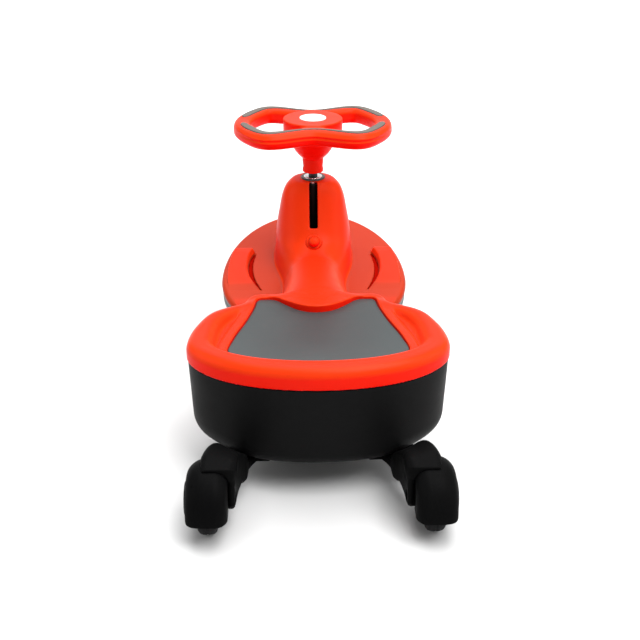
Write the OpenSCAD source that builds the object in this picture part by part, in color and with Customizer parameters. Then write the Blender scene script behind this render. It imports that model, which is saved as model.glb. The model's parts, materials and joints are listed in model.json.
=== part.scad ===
// Wiggle car: a ride-on toy that is driven by swinging its steering wheel.
// Millimetres. +Y is the driving direction, +X the rider's right, +Z up.
// The origin is on the floor, midway along and across the toy.

/* [Seat] */
// Half-width of the seat
seat_a = 174.5; // [165:0.5:178]
// Seat outline: length behind its widest line
seat_rear = 93; // [86:1:96]
// Seat outline: length ahead of its widest line
seat_front = 165; // [160:1:170]
// Height of the seat rim's crest
rim_z = 194; // [191:1:197]
// Height of the dish that the seat panel lies in
dish_z = 178; // [175:1:180]
// Thickness of the seat panel
panel_t = 4; // [3:0.5:5]

/* [Deck] */
// Half-width of the front deck
deck_a = 147; // [140:0.5:150]
// Deck outline: length ahead of its widest line
deck_front = 211; // [204:1:214]
// Rise of the deck towards the front, mm per mm
deck_slope = 0.1405; // [0.1:0.005:0.16]
// Half-width of the waist between seat and deck
waist = 98; // [92:1:102]
// Wall thickness of the moulded shells
wall = 3; // [2.5:0.1:3.5]

/* [Tower] */
// Height of the tower's top
tower_z = 291; // [288:1:294]
// Width of the slot in the tower's rear
slot_w = 13; // [10:1:16]

/* [Steering] */
// Radius of the steering column
column_r = 7; // [6.5:0.1:7.5]
// Radial running clearance of the column in its bushes
run_clear = 0.06; // [0.03:0.01:0.09]
// Half-width of the steering wheel at the rim's centre line
wheel_half = 109.5; // [105:0.5:113]
// Radius of the steering wheel's hub
hub_r = 46; // [42:1:48]

/* [Road wheels] */
// Radius of the road wheels
tyre_r = 44; // [43:0.5:44.5]
// Width of the tyres
tyre_w = 24; // [20:1:28]
// Half the track of the rear wheels
rear_track = 141.5; // [139:0.5:144]
// Half the track of the front wheels
front_track = 62; // [60:1:64]
// Distance of the front axle ahead of the steering axis
front_lead = 110; // [106:1:112]
// Radius of the safety rollers
roller_r = 22; // [20:0.5:22]

/* [Horn] */
// Travel of the horn button
horn_travel = 3; // [2:0.5:4]

/* [Hidden] */
// The shape functions below take y from the seat's widest line less 25 mm; YS brings it to the frame.
YS = 203.25;
AX = 394 - YS;                 // y of the steering axis
REAR_Y = -125 - YS;            // y of the rear axle
AXLE_Z = tyre_r;
FRONT_Y = AX + front_lead;
ROLL_Y = 582 - YS - roller_r;
ROLL_Z = roller_r + 7;
FEND_R = 50.5;                 // outer radius of a fender
PAN_Z = 112;                   // underside of the front pan
BUCKET_Z = 44;                 // underside of the seat bucket
RIM_Z0 = 372.5;                 // mid height of the steering wheel's rim
HORN_Y = 331 - YS;
HORN_Z = 205;
HORN_TILT = 60;
RED = [0.93, 0.2, 0.09];
BLACK = [0.09, 0.09, 0.095];
GRAY = [0.36, 0.36, 0.37];
STEEL = [0.7, 0.71, 0.72];
$fn = 64;

// ---------- shape functions ----------
function sstep(a, b, t) = let(u = min(1, max(0, (t - a) / (b - a)))) u * u * (3 - 2 * u);
function smax(a, b, k) = let(h = max(k - abs(a - b), 0) / k) max(a, b) + h * h * k / 4;
function mix(a, b, t) = a * (1 - t) + b * t;

// Outline of the body, half-width at y
function seat_w(y) = seat_a * sqrt(max(0, 1 - pow((y - 25) / (y < 25 ? seat_rear : seat_front), 2)));
function deck_w(y) = deck_a * sqrt(max(0, 1 - pow((y - 335) / (y < 335 ? 164 : deck_front), 2)));
function body_w(y) = y < 100 ? seat_w(y) : y > 270 ? deck_w(y)
    : smax(smax(seat_w(y), deck_w(y), 30), waist, 30);

// Distance inside an ellipse's edge, near the edge
function edge_in(x, y, yc, a, b) = let(
    q = sqrt(pow(x / a, 2) + pow((y - yc) / b, 2)),
    g = sqrt(pow(x / a / a, 2) + pow((y - yc) / b / b, 2))) g < 1e-6 ? b : q * (1 - q) / g;
function inset(x, y) = y < 100 ? edge_in(x, y, 25, seat_a, y < 25 ? seat_rear : seat_front)
    : y > 270 ? edge_in(x, y, 335, deck_a, y < 335 ? 164 : deck_front)
    : body_w(y) - abs(x);

// Seat panel: half-width at y, front edge and rear edge at x
function panel_w(y) = lookup(y, [[-27, 60], [-11, 92], [9, 119], [38, 114], [71, 105.5], [114, 93.5], [167, 86]]);
function panel_front(x) = lookup(x, [[0, 125], [17.5, 127.5], [38, 144], [57.5, 167], [90, 167]]);
function panel_rear(x) = lookup(x, [[0, -27], [52, -22], [90, -11], [119, 9]]);
function panel_in(x, y) = min(panel_w(y) - abs(x), panel_front(abs(x)) - y, y - panel_rear(abs(x)));

// Heights of the top surface
function deck_z(y) = smax(145 + (y - 320) * deck_slope, 134, 10);
function rim_h(d, y) = rim_z - 9 * sstep(95, 160, y)
    + lookup(d, [[0, -15], [3, -8], [7, -3.2], [12, -0.5], [18, 0], [24, -1.5], [30, -5.5], [36, -11], [41, -15]]);
function deck_h(x, y) = deck_z(y) + lookup(inset(x, y), [[0, -8], [2, -4], [5, -1], [9, 0]])
    + (y > 300 && y < 406 && norm([x, y - 358]) > 108 && inset(x, y) > 7 ? (y - 300) * 0.075 : 0);
function spine_h(x, y) = let(hw = lookup(y, [[125, 60], [200, 52], [300, 50], [340, 56], [420, 40], [500, 20]]))
    mix(deck_z(y), lookup(y, [[330, 191], [400, 189], [520, 160]]), 1 - sstep(hw * 0.75, hw + 38, abs(x)));
function tower_h(x, y) = let(r = norm([x, y - 400])) tower_z - 291
    + lookup(r, [[0, 291], [28, 291], [35, 288], [43.5, 275], [49.5, 262], [56, 228], [62, 205], [70, 190], [80, 176], [98, 160], [125, 100]]);
function rim_part(x, y) = mix(rim_h(inset(x, y), y), deck_z(y) - 6, sstep(150, 205, y));
function open_top(x, y) = y < 110 ? rim_part(x, y)
    : smax(smax(y < 215 ? smax(rim_part(x, y), spine_h(x, y), 8) : spine_h(x, y), y < 205 ? -99 : deck_h(x, y), 8), tower_h(x, y), 10);
// A border stands just above the panel; the panel's recess is cut out of it afterwards
function top_z(x, y) = let(t = sstep(3, 17, -panel_in(x, y))) y > 200 ? open_top(x, y)
    : mix(max(dish_z + panel_t + 0.5, y > 118 ? min(190, open_top(x, y)) : 0), open_top(x, y), t);
function under_z(x, y) = let(e = 1, z = top_z(x, y),
    gx = (top_z(x + e, y) - top_z(x - e, y)) / (2 * e), gy = (top_z(x, y + e) - top_z(x, y - e)) / (2 * e))
    min(z - min(17, wall * sqrt(1 + gx * gx + gy * gy)), y < 195 && panel_in(x, y) > -32 ? dish_z - wall : 999);
// Height of the seam where the top meets the lower shells
function seam_z(y) = mix(162, deck_z(y) - 12, sstep(140, 200, y));

// ---------- skins ----------
function flat2(v) = [for (a = v, b = a) b];
module skin(rings, closed = false) {
    m = len(rings);
    n = len(rings[0]);
    pts = concat(flat2(rings), closed ? [] : [
        [for (c = [0:2]) sum([for (p = rings[0]) p[c]]) / n],
        [for (c = [0:2]) sum([for (p = rings[m - 1]) p[c]]) / n]]);
    sides = [for (r = [0:(closed ? m - 1 : m - 2)], k = [0:n - 1])
        let(a = r * n + k, b = ((r + 1) % m) * n + k, c = ((r + 1) % m) * n + (k + 1) % n, d = r * n + (k + 1) % n)
        each [[a, b, c], [a, c, d]]];
    caps = closed ? [] : concat(
        [for (k = [0:n - 1]) [k, (k + 1) % n, m * n]],
        [for (k = [0:n - 1]) [(m - 1) * n + (k + 1) % n, (m - 1) * n + k, m * n + 1]]);
    polyhedron(points = pts, faces = concat(sides, caps), convexity = 8);
}
function sum(v, i = 0, s = 0) = i == len(v) ? s : sum(v, i + 1, s + v[i]);

// ---------- upper shell ----------
US = [-1, -0.965, -0.91, -0.84, -0.76, -0.68, -0.6, -0.53, -0.47, -0.425, -0.385, -0.34, -0.28, -0.2, -0.1,
    0, 0.1, 0.2, 0.28, 0.34, 0.385, 0.425, 0.47, 0.53, 0.6, 0.68, 0.76, 0.84, 0.91, 0.965, 1];
VS = [-67, -62.5, -56, -49, -42, -36, -30, -22, -8, 10, 35, 60, 85, 108, 122, 130, 138, 147, 156, 165, 176, 187, 200,
    216, 234, 254, 274, 294, 312, 324, 334, 342, 348, 354, 362, 371, 382, 400, 418, 429, 438, 446, 452, 458, 466,
    480, 497, 512, 524, 534, 541, 545.6];
NU = len(US);
NV = len(VS);
function shell_out() = [for (v = VS, u = US) let(x = body_w(v) * u) [x, v - YS, top_z(x, v)]];
function shell_in() = [for (v = VS, u = US) let(y = v + (v < 0 ? wall : v > 500 ? -wall : 0) * 1.05,
    x = (max(body_w(v), 20) - wall * 1.1) * u * (v < -60 || v > 540 ? 0.9 : 1)) [x, y - YS, under_z(x, y)]];
PER = concat([for (i = [0:NU - 1]) i], [for (j = [1:NV - 1]) j * NU + NU - 1],
    [for (i = [NU - 2:-1:0]) (NV - 1) * NU + i], [for (j = [NV - 2:-1:1]) j * NU]);

module shell_skin() {
    o = shell_out();
    n = shell_in();
    q = len(o);
    p = len(PER);
    ob = [for (k = PER) [o[k][0], o[k][1], seam_z(o[k][1] + YS)]];
    nb = [for (k = PER) [n[k][0], n[k][1], seam_z(n[k][1] + YS)]];
    pts = concat(o, n, ob, nb);
    top = [for (j = [0:NV - 2], i = [0:NU - 2]) let(a = j * NU + i, b = a + NU, c = b + 1, d = a + 1)
        each [[a, b, c], [a, c, d]]];
    low = [for (f = top) [q + f[0], q + f[2], q + f[1]]];
    skirt = [for (k = [0:p - 1]) let(l = (k + 1) % p, b0 = 2 * q + k, b1 = 2 * q + l, c0 = 2 * q + p + k, c1 = 2 * q + p + l)
        each [[b0, PER[k], PER[l]], [b0, PER[l], b1],
            [c0, q + PER[l], q + PER[k]], [c0, c1, q + PER[l]],
            [b0, b1, c1], [b0, c1, c0]]];
    polyhedron(points = pts, faces = concat(top, low, skirt), convexity = 10);
}

SEAT_POSTS = [[-95, 12], [95, 12], [-66, 100], [66, 100]];
DECK_POSTS = [[-98, 300], [98, 300], [-86, 430], [86, 430]];

module upper_shell() {
    color(RED) difference() {
        union() {
            shell_skin();
            for (p = SEAT_POSTS) translate([p[0], p[1] - YS, 150.3]) cylinder(r = 7, h = dish_z - 1.4 - 150.3);
            for (p = DECK_POSTS) translate([p[0], p[1] - YS, 127.3]) cylinder(r = 6.5, h = top_z(p[0], p[1]) - 1.4 - 127.3);
        }
        translate([0, -YS, dish_z]) linear_extrude(40) polygon(grown(panel_outline(), 1.1));
        translate([0, AX, tower_z - 20]) cylinder(r = 11.3, h = 40);
        translate([-slot_w / 2, 330 - YS, 229]) cube([slot_w, 46, 56]);
        translate([0, 330 - YS, 229]) rotate([-90, 0, 0]) cylinder(d = slot_w, h = 46);
        translate([0, HORN_Y, HORN_Z]) rotate([HORN_TILT, 0, 0]) {
            translate([0, 0, -30]) cylinder(r = 10.9, h = 60);
            translate([0, 0, -1.5]) cylinder(r = 12.6, h = 40);
        }
        for (p = SEAT_POSTS) translate([p[0], p[1] - YS, 140]) cylinder(r = 2, h = 28);
        for (p = DECK_POSTS) translate([p[0], p[1] - YS, 110]) cylinder(r = 2, h = 25);
    }
}

// ---------- lower shells ----------
BUCKET_FRONT = 183;
// Ring of the seat bucket at an inset from the body outline
function bucket_ring(i, z0) = concat(
    [for (k = [0:28]) let(t = 180 + k * 180 / 28) [(seat_a - i) * cos(t), 25 + (seat_rear - i) * sin(t) - YS, z0]],
    [for (k = [1:9]) let(y = 25 + (BUCKET_FRONT - 25) * k / 9) [body_w(y) - i, 25 + (BUCKET_FRONT - i - 25) * k / 9 - YS, z0]],
    [for (k = [1:5]) let(x = (body_w(BUCKET_FRONT) - i) * (1 - k / 3)) [x, BUCKET_FRONT - i - YS, z0]],
    [for (k = [9:-1:1]) let(y = 25 + (BUCKET_FRONT - 25) * k / 9) [-(body_w(y) - i), 25 + (BUCKET_FRONT - i - 25) * k / 9 - YS, z0]]);
function to_seam(ring, gap) = [for (p = ring) [p[0], p[1], seam_z(p[1] + YS) - gap]];
BUCKET_OUT = [[BUCKET_Z, 24], [45, 17], [48, 11], [54, 6.5], [64, 4.5], [90, 3.4], [115, 2.6]];
BUCKET_IN = [[115, 5.6], [90, 6.4], [66, 7.6], [57, 9.8], [51.5, 14], [48.5, 19], [BUCKET_Z + wall, 25]];

ARM_PINS = [[100, -8], [120, -8], [100, 46], [120, 46]];

module seat_bucket() {
    color(BLACK) difference() {
        union() {
            skin(concat(
                [for (l = BUCKET_OUT) bucket_ring(l[1], l[0])],
                [to_seam(bucket_ring(2.4, 0), 0.3), to_seam(bucket_ring(5.4, 0), 0.3)],
                [for (l = BUCKET_IN) bucket_ring(l[1], l[0])]));
            for (p = SEAT_POSTS) translate([p[0], p[1] - YS, BUCKET_Z + 1]) cylinder(r = 9, h = 150 - BUCKET_Z - 1);
            for (s = [-1, 1], p = ARM_PINS) translate([s * p[0], p[1] - YS, BUCKET_Z + 1]) cylinder(r = 6, h = 15);
        }
        for (p = SEAT_POSTS) {
            translate([p[0], p[1] - YS, BUCKET_Z - 5]) cylinder(r = 6, h = 101);
            translate([p[0], p[1] - YS, BUCKET_Z - 5]) cylinder(r = 2.3, h = 120);
        }
        for (s = [-1, 1], p = ARM_PINS) translate([s * p[0], p[1] - YS, BUCKET_Z - 5]) cylinder(r = 2, h = 18);
    }
}

PAN_REAR = 181.6;
// Ring of the front pan at an inset from the body outline
function pan_ring(i, z0) = concat(
    [for (k = [0:26]) let(t = k * 180 / 26) [(deck_a - i) * cos(t), 335 + (deck_front - i) * sin(t) - YS, z0]],
    [for (k = [1:9]) let(y = 335 + (PAN_REAR - 335) * k / 9) [-(body_w(y) - i), 335 + (PAN_REAR + i - 6 - 335) * k / 9 - YS, z0]],
    [for (k = [1:5]) let(x = (body_w(PAN_REAR) - i) * (-1 + k / 3)) [x, PAN_REAR + i - 6 - YS, z0]],
    [for (k = [9:-1:1]) let(y = 335 + (PAN_REAR - 335) * k / 9) [body_w(y) - i, 335 + (PAN_REAR + i - 6 - 335) * k / 9 - YS, z0]]);
function pan_mid(i, up) = [for (p = pan_ring(i, 0)) [p[0], p[1], max(PAN_Z + up, mix(PAN_Z + up, seam_z(p[1] + YS) - 6, 0.45))]];

module front_pan() {
    color(BLACK) difference() {
        union() {
            skin([pan_ring(30, PAN_Z), pan_mid(16, 1), pan_mid(8, 4),
                to_seam(pan_ring(6, 0), 0.3), to_seam(pan_ring(9, 0), 0.3),
                pan_mid(11, 5), pan_mid(19, 4), pan_ring(32, PAN_Z + wall)]);
            translate([0, AX, PAN_Z + 1]) cylinder(r = 20, h = 22);
            for (p = DECK_POSTS) translate([p[0], p[1] - YS, PAN_Z + 1]) cylinder(r = 8, h = 14);
        }
        translate([0, AX, PAN_Z - 5]) cylinder(r = 11, h = 40);
        translate([0, AX, PAN_Z + 4]) cylinder(r = 14, h = 40);
        for (p = DECK_POSTS) {
            translate([p[0], p[1] - YS, PAN_Z - 5]) cylinder(r = 5.5, h = 12);
            translate([p[0], p[1] - YS, PAN_Z - 5]) cylinder(r = 2.3, h = 40);
        }
    }
}

// Gray band under the deck's edge, from one side of the waist round the nose to the other
function trim_path(i) = concat(
    [for (k = [8:-1:1]) let(y = 335 - (335 - 205) * k / 8) [body_w(y) - i, y]],
    [for (k = [0:40]) let(t = k * 180 / 40) [(deck_a - i) * cos(t), 335 + (deck_front - i) * sin(t)]],
    [for (k = [1:8]) let(y = 335 - (335 - 205) * k / 8) [-(body_w(y) - i), y]]);
module deck_trim() {
    a = trim_path(1.5);
    b = trim_path(5.2);
    color(GRAY) skin([for (k = [0:len(a) - 1]) let(zt = seam_z(a[k][1]) - 0.3, zb = max(111, zt - 17)) [
        [a[k][0], a[k][1] - YS, zb], [b[k][0], b[k][1] - YS, zb],
        [b[k][0], b[k][1] - YS, zt], [a[k][0], a[k][1] - YS, zt]]]);
}

PANEL_HALF = [[0, -27], [27, -25.8], [52, -22], [72, -17], [90, -10.8], [104, -4.8], [113.5, 1], [118.2, 7.5], [118.6, 16],
    [114, 38], [110, 55], [105.3, 71], [99, 92], [93.5, 114], [89, 135], [86.5, 150], [85.5, 160], [82, 166.5],
    [74, 168], [62, 167], [55, 163], [48, 155], [38, 144], [28, 134.5], [17.5, 128], [8, 125.3], [0, 124.6]];
function panel_outline() = concat(PANEL_HALF, [for (k = [len(PANEL_HALF) - 2:-1:1]) [-PANEL_HALF[k][0], PANEL_HALF[k][1]]]);
// Outline moved outwards by d
function grown(v, d) = let(n = len(v)) [for (k = [0:n - 1]) let(t = v[(k + 1) % n] - v[(k + n - 1) % n]) v[k] + d * [t[1], -t[0]] / norm(t)];
module seat_panel() {
    color(GRAY) translate([0, -YS, dish_z]) linear_extrude(panel_t) polygon(panel_outline());
}

// ---------- column bearings ----------
module column_tube() {
    color(BLACK) translate([0, AX, PAN_Z + 4]) difference() {
        cylinder(r = 14, h = 283 - PAN_Z - 4);
        translate([0, 0, -1]) cylinder(r = 11, h = 300);
    }
}
module collar_ring() {
    color([0.2, 0.2, 0.2]) translate([0, AX, 0]) rotate_extrude()
        polygon([[15.2, tower_z], [20.5, tower_z], [20.5, tower_z + 1.2], [19.3, tower_z + 2.2], [15.2, tower_z + 2.2]]);
}
module top_bush() {
    color(STEEL) translate([0, AX, 0]) rotate_extrude()
        polygon([[column_r + run_clear, 255], [10.98, 255], [10.98, tower_z], [15, tower_z], [15, tower_z + 2],
            [13.8, tower_z + 3], [column_r + run_clear, tower_z + 3]]);
}
module bottom_bush() {
    color([0.25, 0.25, 0.26]) translate([0, AX, 0]) rotate_extrude()
        polygon([[column_r + run_clear, PAN_Z - 2.5], [17, PAN_Z - 2.5], [17, PAN_Z], [10.98, PAN_Z], [10.98, 146],
            [column_r + run_clear, 146]]);
}

// ---------- horn ----------
module at_horn() { translate([0, HORN_Y, HORN_Z]) rotate([HORN_TILT, 0, 0]) children(); }
module horn_bezel() {
    cup = -13.5 - horn_travel;
    color(RED) at_horn() rotate_extrude()
        polygon([[0, cup - 2.5], [10.6, cup - 2.5], [10.6, -1.3], [12.2, -1.3], [12.2, 1.5], [11.2, 2.8], [8.6, 2.8], [8.6, cup], [0, cup]]);
}
module horn_button() {
    color(RED) at_horn() rotate_extrude()
        polygon([[0, -6], [8.3, -6], [8.3, 5], [7.8, 6.6], [6.7, 8.1], [4.8, 9.4], [2.5, 10.1], [0, 10.3]]);
}
module horn_spring() {
    turns = 4;
    n = 44;
    z0 = -12.4 - horn_travel;
    z1 = -6.9;
    color(STEEL) at_horn() skin([for (k = [0:n]) let(t = k * turns * 360 / n, z = mix(z0, z1, k / n))
        [for (s = [0:5]) let(a = -s * 60) [(6 + 0.7 * cos(a)) * cos(t), (6 + 0.7 * cos(a)) * sin(t), z + 0.7 * sin(a)]]]);
}

// ---------- rear carriers ----------
// Profiles are drawn in (y, z) and stand along X
module along_x(x0, x1) { translate([x0, 0, 0]) rotate([90, 0, 90]) linear_extrude(x1 - x0) children(); }
module rod_x(x0, x1, r, y, z) { translate([x0, y, z]) rotate([0, 90, 0]) cylinder(r = r, h = x1 - x0); }

module rear_arm() {
    difference() {
        union() {
            // cap over the fender
            difference() {
                along_x(rear_track - 30, rear_track + 8) polygon([[-53, 52], [-53, 64], [-64, 72], [-80, 83], [-95, 92], [-108, 97.5], [-122, 100.5],
                    [-136, 100.5], [-144, 99], [-146, 97], [-146, 88], [-70, 52]] - [for (k = [0:11]) [YS, 0]]);
                rod_x(rear_track - 40, rear_track + 12, FEND_R + 0.3, REAR_Y, AXLE_Z);
            }
            // ramp up from under the seat bucket, and leg beside the wheel
            intersection() {
                along_x(90, rear_track - 26.2) polygon([[-20, 33], [-20, 43.7], [-30, 43.7], [-44, 47.5], [-50.5, 54], [-53, 62], [-64, 71],
                    [-80, 82], [-95, 91], [-108, 95], [-118, 90], [-126, 75], [-138, 58], [-140, 44], [-136, 33], [-126, 29.5],
                    [-110, 30], [-80, 36], [-66, 30], [-48, 33]] - [for (k = [0:19]) [YS, 0]]);
                linear_extrude(120) polygon([[93, -19], [93, -66], [104.5, -90], [rear_track - 31.5, -110], [rear_track - 31.5, -142], [124, -142], [124, -19]]
                    - [for (k = [0:6]) [0, YS]]);
            }
            // pad under the seat bucket
            translate([66, -24 - YS, 33]) cube([62, 84, BUCKET_Z - 0.3 - 33]);
            rod_x(rear_track - 31, rear_track - 16, 14, REAR_Y, AXLE_Z);
        }
        rod_x(80, 140, 4, REAR_Y, AXLE_Z);
        rod_x(80, rear_track - 25.6, 9, REAR_Y, AXLE_Z);
        for (p = ARM_PINS) translate([p[0], p[1] - YS, 20]) cylinder(r = 2.3, h = 60);
    }
}
module rear_arm_right() { color(BLACK) rear_arm(); }
module rear_arm_left() { color(BLACK) mirror([1, 0, 0]) rear_arm(); }

// Half-drum hood, its outer side at +X, about an axle through the origin
module fender() {
    difference() {
        union() {
            rod_x(-26, 26, FEND_R, 0, 0);
            rod_x(25, 28.5, 24, 0, 0);
        }
        rod_x(-22.5, 22.5, FEND_R - 4, 0, 0);
        translate([-40, -80, -80]) cube([80, 160, 70.5]);
        rod_x(-40, 0, 16, 0, 0);
        rod_x(18, 40, 4, 0, 0);
        rod_x(25, 40, 8.2, 0, 0);
    }
    difference() {
        rod_x(13.6, 23, 7, 0, 0);
        rod_x(10, 40, 4, 0, 0);
    }
}
module rear_fender_right() { color(BLACK) translate([rear_track, REAR_Y, AXLE_Z]) fender(); }
module rear_fender_left() { color(BLACK) mirror([1, 0, 0]) translate([rear_track, REAR_Y, AXLE_Z]) fender(); }
module rear_axle() {
    rod_x(rear_track - 32.5, rear_track + 26, 4, REAR_Y, AXLE_Z);
    rod_x(rear_track + 25, rear_track + 28.4, 7.5, REAR_Y, AXLE_Z);
}
module rear_axle_right() { color(BLACK) rear_axle(); }
module rear_axle_left() { color(BLACK) mirror([1, 0, 0]) rear_axle(); }
module hex_nut_x(x0, t, r, bore) {
    translate([x0, 0, 0]) rotate([0, 90, 0]) difference() {
        cylinder(r = r, h = t, $fn = 6);
        translate([0, 0, -1]) cylinder(r = bore, h = t + 2);
    }
}
module rear_axle_nuts() {
    color(BLACK) for (s = [0, 1]) mirror([s, 0, 0]) translate([0, REAR_Y, AXLE_Z]) hex_nut_x(rear_track - 31.1, 5.4, 7.5, 4);
}

// ---------- fasteners ----------
module screw(head_r, head_t, r, l) {
    translate([0, 0, -head_t]) cylinder(r = head_r, h = head_t);
    translate([0, 0, -0.5]) cylinder(r = r, h = l + 0.5);
}
module shell_screws() {
    color(STEEL) {
        for (p = SEAT_POSTS) translate([p[0], p[1] - YS, 140]) screw(4.4, 3, 2, 26);
        for (p = DECK_POSTS) translate([p[0], p[1] - YS, 119]) screw(4.4, 3, 2, 14);
    }
}
module arm_screws() {
    color(STEEL) for (s = [-1, 1], p = ARM_PINS) translate([s * p[0], p[1] - YS, 33]) screw(4.4, 3, 2, 22);
}

// ---------- steering ----------
// Rim centre line: two lobes joined by a narrower middle; a quarter of it, the rest is mirrored
RIM_X = [[0, 109.5], [8, 108], [16, 104], [25, 97], [36, 87], [46, 76.5], [54, 65], [62, 50], [69, 35], [77, 20], [84, 8], [90, 0]];
RIM_Y = [[0, 0], [8, 14.5], [16, 28.5], [25, 43], [36, 59.5], [46, 70.5], [54, 74], [62, 71.5], [69, 65], [77, 58], [84, 55], [90, 54.6]];
function quarter(t) = let(a = (t + 720) % 180) a > 90 ? 180 - a : a;
function rim_pt(t) = let(a = (t + 720) % 360, q = quarter(t))
    [(a < 90 || a > 270 ? 1 : -1) * lookup(q, RIM_X) * wheel_half / 109.5, (a < 180 ? 1 : -1) * lookup(q, RIM_Y)];
function rim_out(t) = let(d = rim_pt(t + 3) - rim_pt(t - 3)) [d[1], -d[0]] / norm(d);
function rim_place(t, n, z) = let(p = rim_pt(t), o = rim_out(t)) [p[0] + o[0] * n, p[1] + o[1] * n + AX, RIM_Z0 + z];
// Half-width of a grip: widest on the lobes, narrow in the middle
function grip_w(t) = lookup(quarter(t), [[0, 5], [25, 6.3], [50, 5.8], [70, 3.4], [90, 2.6]]);
RIM_T = [for (k = [0:71]) k * 5];
module steering_wheel() {
    color(RED) difference() {
        union() {
            skin([for (t = RIM_T) let(g = quarter(t) > 7 ? 2.6 : 0.2, w = grip_w(t) + 0.3) [for (s = [
                [-6, -12.5], [-11, -9.5], [-14, -3.5], [-14, 5], [-11.5, 10], [-7.4, 12.5], [-w, 12.5], [-w, 12.5 - g],
                [w, 12.5 - g], [w, 12.5], [7.4, 12.5], [11.5, 10], [14, 5], [14, -3.5], [11, -9.5], [6, -12.5]]) rim_place(t, s[0], s[1])]], closed = true);
            translate([0, AX, 0]) rotate_extrude() polygon([[0, 299], [15.4, 299], [16.2, 300], [16.2, 322], [20.5, 326.5], [25, 331.5],
                [29, 337], [32, 344], [36, 350], [42, 354], [hub_r, 360], [hub_r, 385.5], [hub_r - 2, 387.5], [22.3, 387.5], [22.3, 386], [0, 386]]);
        }
        translate([0, AX, 290]) cylinder(r = column_r, h = 77);
        rod_x(-30, 30, 3, AX, 312);
        rod_x(-30, -12, 5.6, AX, 312);
        rod_x(12, 30, 5.6, AX, 312);
    }
}
module grip(t0, t1) {
    skin([for (t = [t0:5:t1]) let(w = grip_w(t)) [for (s = [[-w, 10], [-w, 13], [-w + 1.6, 13.8], [w - 1.6, 13.8], [w, 13], [w, 10]]) rim_place(t, s[0], s[1])]]);
}
module grip_far() { color([0.5, 0.46, 0.42]) grip(10, 170); }
module grip_near() { color([0.5, 0.46, 0.42]) grip(190, 350); }
module hub_badge() {
    color([0.93, 0.93, 0.92]) translate([0, AX, 0]) rotate_extrude()
        polygon([[0, 386], [22, 386], [22, 388], [21, 389], [0, 389]]);
}
module steering_column() {
    color(BLACK) difference() {
        union() {
            translate([0, AX, 84]) cylinder(r = column_r, h = 366 - 84);
            translate([0, AX, 68]) cylinder(r = 6, h = 20);
        }
        rod_x(-30, 30, 3, AX, 312);
    }
}
module neck_bolt() {
    color(STEEL) {
        rod_x(-13, 15.6, 3, AX, 312);
        rod_x(-15.6, -12, 5.4, AX, 312);
        translate([0, AX, 312]) hex_nut_x(12, 3.6, 5.5, 3);
    }
}
module column_washer() {
    color(STEEL) translate([0, AX, 107.2]) difference() {
        cylinder(r = 17, h = 2);
        translate([0, 0, -1]) cylinder(r = column_r, h = 4);
    }
}
module column_nut() {
    color(STEEL) translate([0, AX, 74]) difference() {
        cylinder(r = 11, h = 10, $fn = 6);
        translate([0, 0, -1]) cylinder(r = 6, h = 12);
    }
}
module front_yoke() {
    color(BLACK) difference() {
        union() {
            translate([0, AX, 84]) cylinder(r = 24, h = 107.2 - 84);
            hull() {
                translate([0, AX, 84]) cylinder(r = 22, h = 20, $fn = 32);
                translate([0, FRONT_Y, 84]) cylinder(r = 20, h = 20, $fn = 32);
            }
            // web down to the axle tube, and wings that carry the fenders
            hull() {
                translate([-20, FRONT_Y - 17, 84]) cube([40, 34, 14]);
                rod_x(-20, 20, 14, FRONT_Y, AXLE_Z, $fn = 32);
            }
            translate([26 - front_track, FRONT_Y - 18, 74]) cube([2 * (front_track - 26), 36, 18]);
            rod_x(-46, 46, 14, FRONT_Y, AXLE_Z);
            // nose that carries the safety rollers
            hull() {
                rod_x(-7, 7, 11, FRONT_Y, AXLE_Z, $fn = 32);
                rod_x(-7, 7, 10, ROLL_Y, ROLL_Z, $fn = 32);
            }
        }
        translate([0, AX, 60]) cylinder(r = column_r, h = 60);
        rod_x(-60, 60, 4, FRONT_Y, AXLE_Z);
        rod_x(-20, 20, 4, ROLL_Y, ROLL_Z);
    }
}
module front_fender_right() { color(BLACK) translate([front_track, FRONT_Y, AXLE_Z]) fender(); }
module front_fender_left() { color(BLACK) mirror([1, 0, 0]) translate([front_track, FRONT_Y, AXLE_Z]) fender(); }
module front_axle() { color(STEEL) rod_x(-front_track - 28.5, front_track + 28.5, 4, FRONT_Y, AXLE_Z); }
module front_axle_nuts() {
    color(STEEL) for (s = [0, 1]) mirror([s, 0, 0]) translate([0, FRONT_Y, AXLE_Z]) hex_nut_x(front_track + 25, 3.5, 7.5, 4);
}
module safety_axle() {
    color(STEEL) {
        rod_x(-28, 28, 4, ROLL_Y, ROLL_Z);
        for (s = [0, 1]) mirror([s, 0, 0]) rod_x(25.6, 28, 7, ROLL_Y, ROLL_Z);
    }
}

// ---------- wheels ----------
module wheel_at(x, y) { translate([x, y, AXLE_Z]) rotate([0, 90, 0]) children(); }
module tyre() {
    h = tyre_w / 2;
    color(BLACK) rotate_extrude() polygon([[29, -h + 1], [34.5, -h], [39, -h + 0.5], [42, -h + 3], [tyre_r - 0.5, -h + 6.5], [tyre_r, -3],
        [tyre_r, 3], [tyre_r - 0.5, h - 6.5], [42, h - 3], [39, h - 0.5], [34.5, h], [29, h - 1]]);
}
module hub() {
    color([0.2, 0.2, 0.21]) rotate_extrude() polygon([[11, -13], [15, -13], [16, -5], [24, -4], [25, -11], [29, -11],
        [29, 11], [25, 11], [24, 4], [16, 5], [15, 13], [11, 13], [11, 6], [8.5, 6], [8.5, -6], [11, -6]]);
}
module bearings() {
    color(STEEL) for (z = [-13, 6]) translate([0, 0, z]) difference() {
        cylinder(r = 11, h = 7);
        translate([0, 0, -1]) cylinder(r = 4 + run_clear, h = 9);
    }
}
module rear_tyre_left() { wheel_at(-rear_track, REAR_Y) tyre(); }
module rear_hub_left() { wheel_at(-rear_track, REAR_Y) hub(); }
module rear_bearings_left() { wheel_at(-rear_track, REAR_Y) bearings(); }
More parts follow.
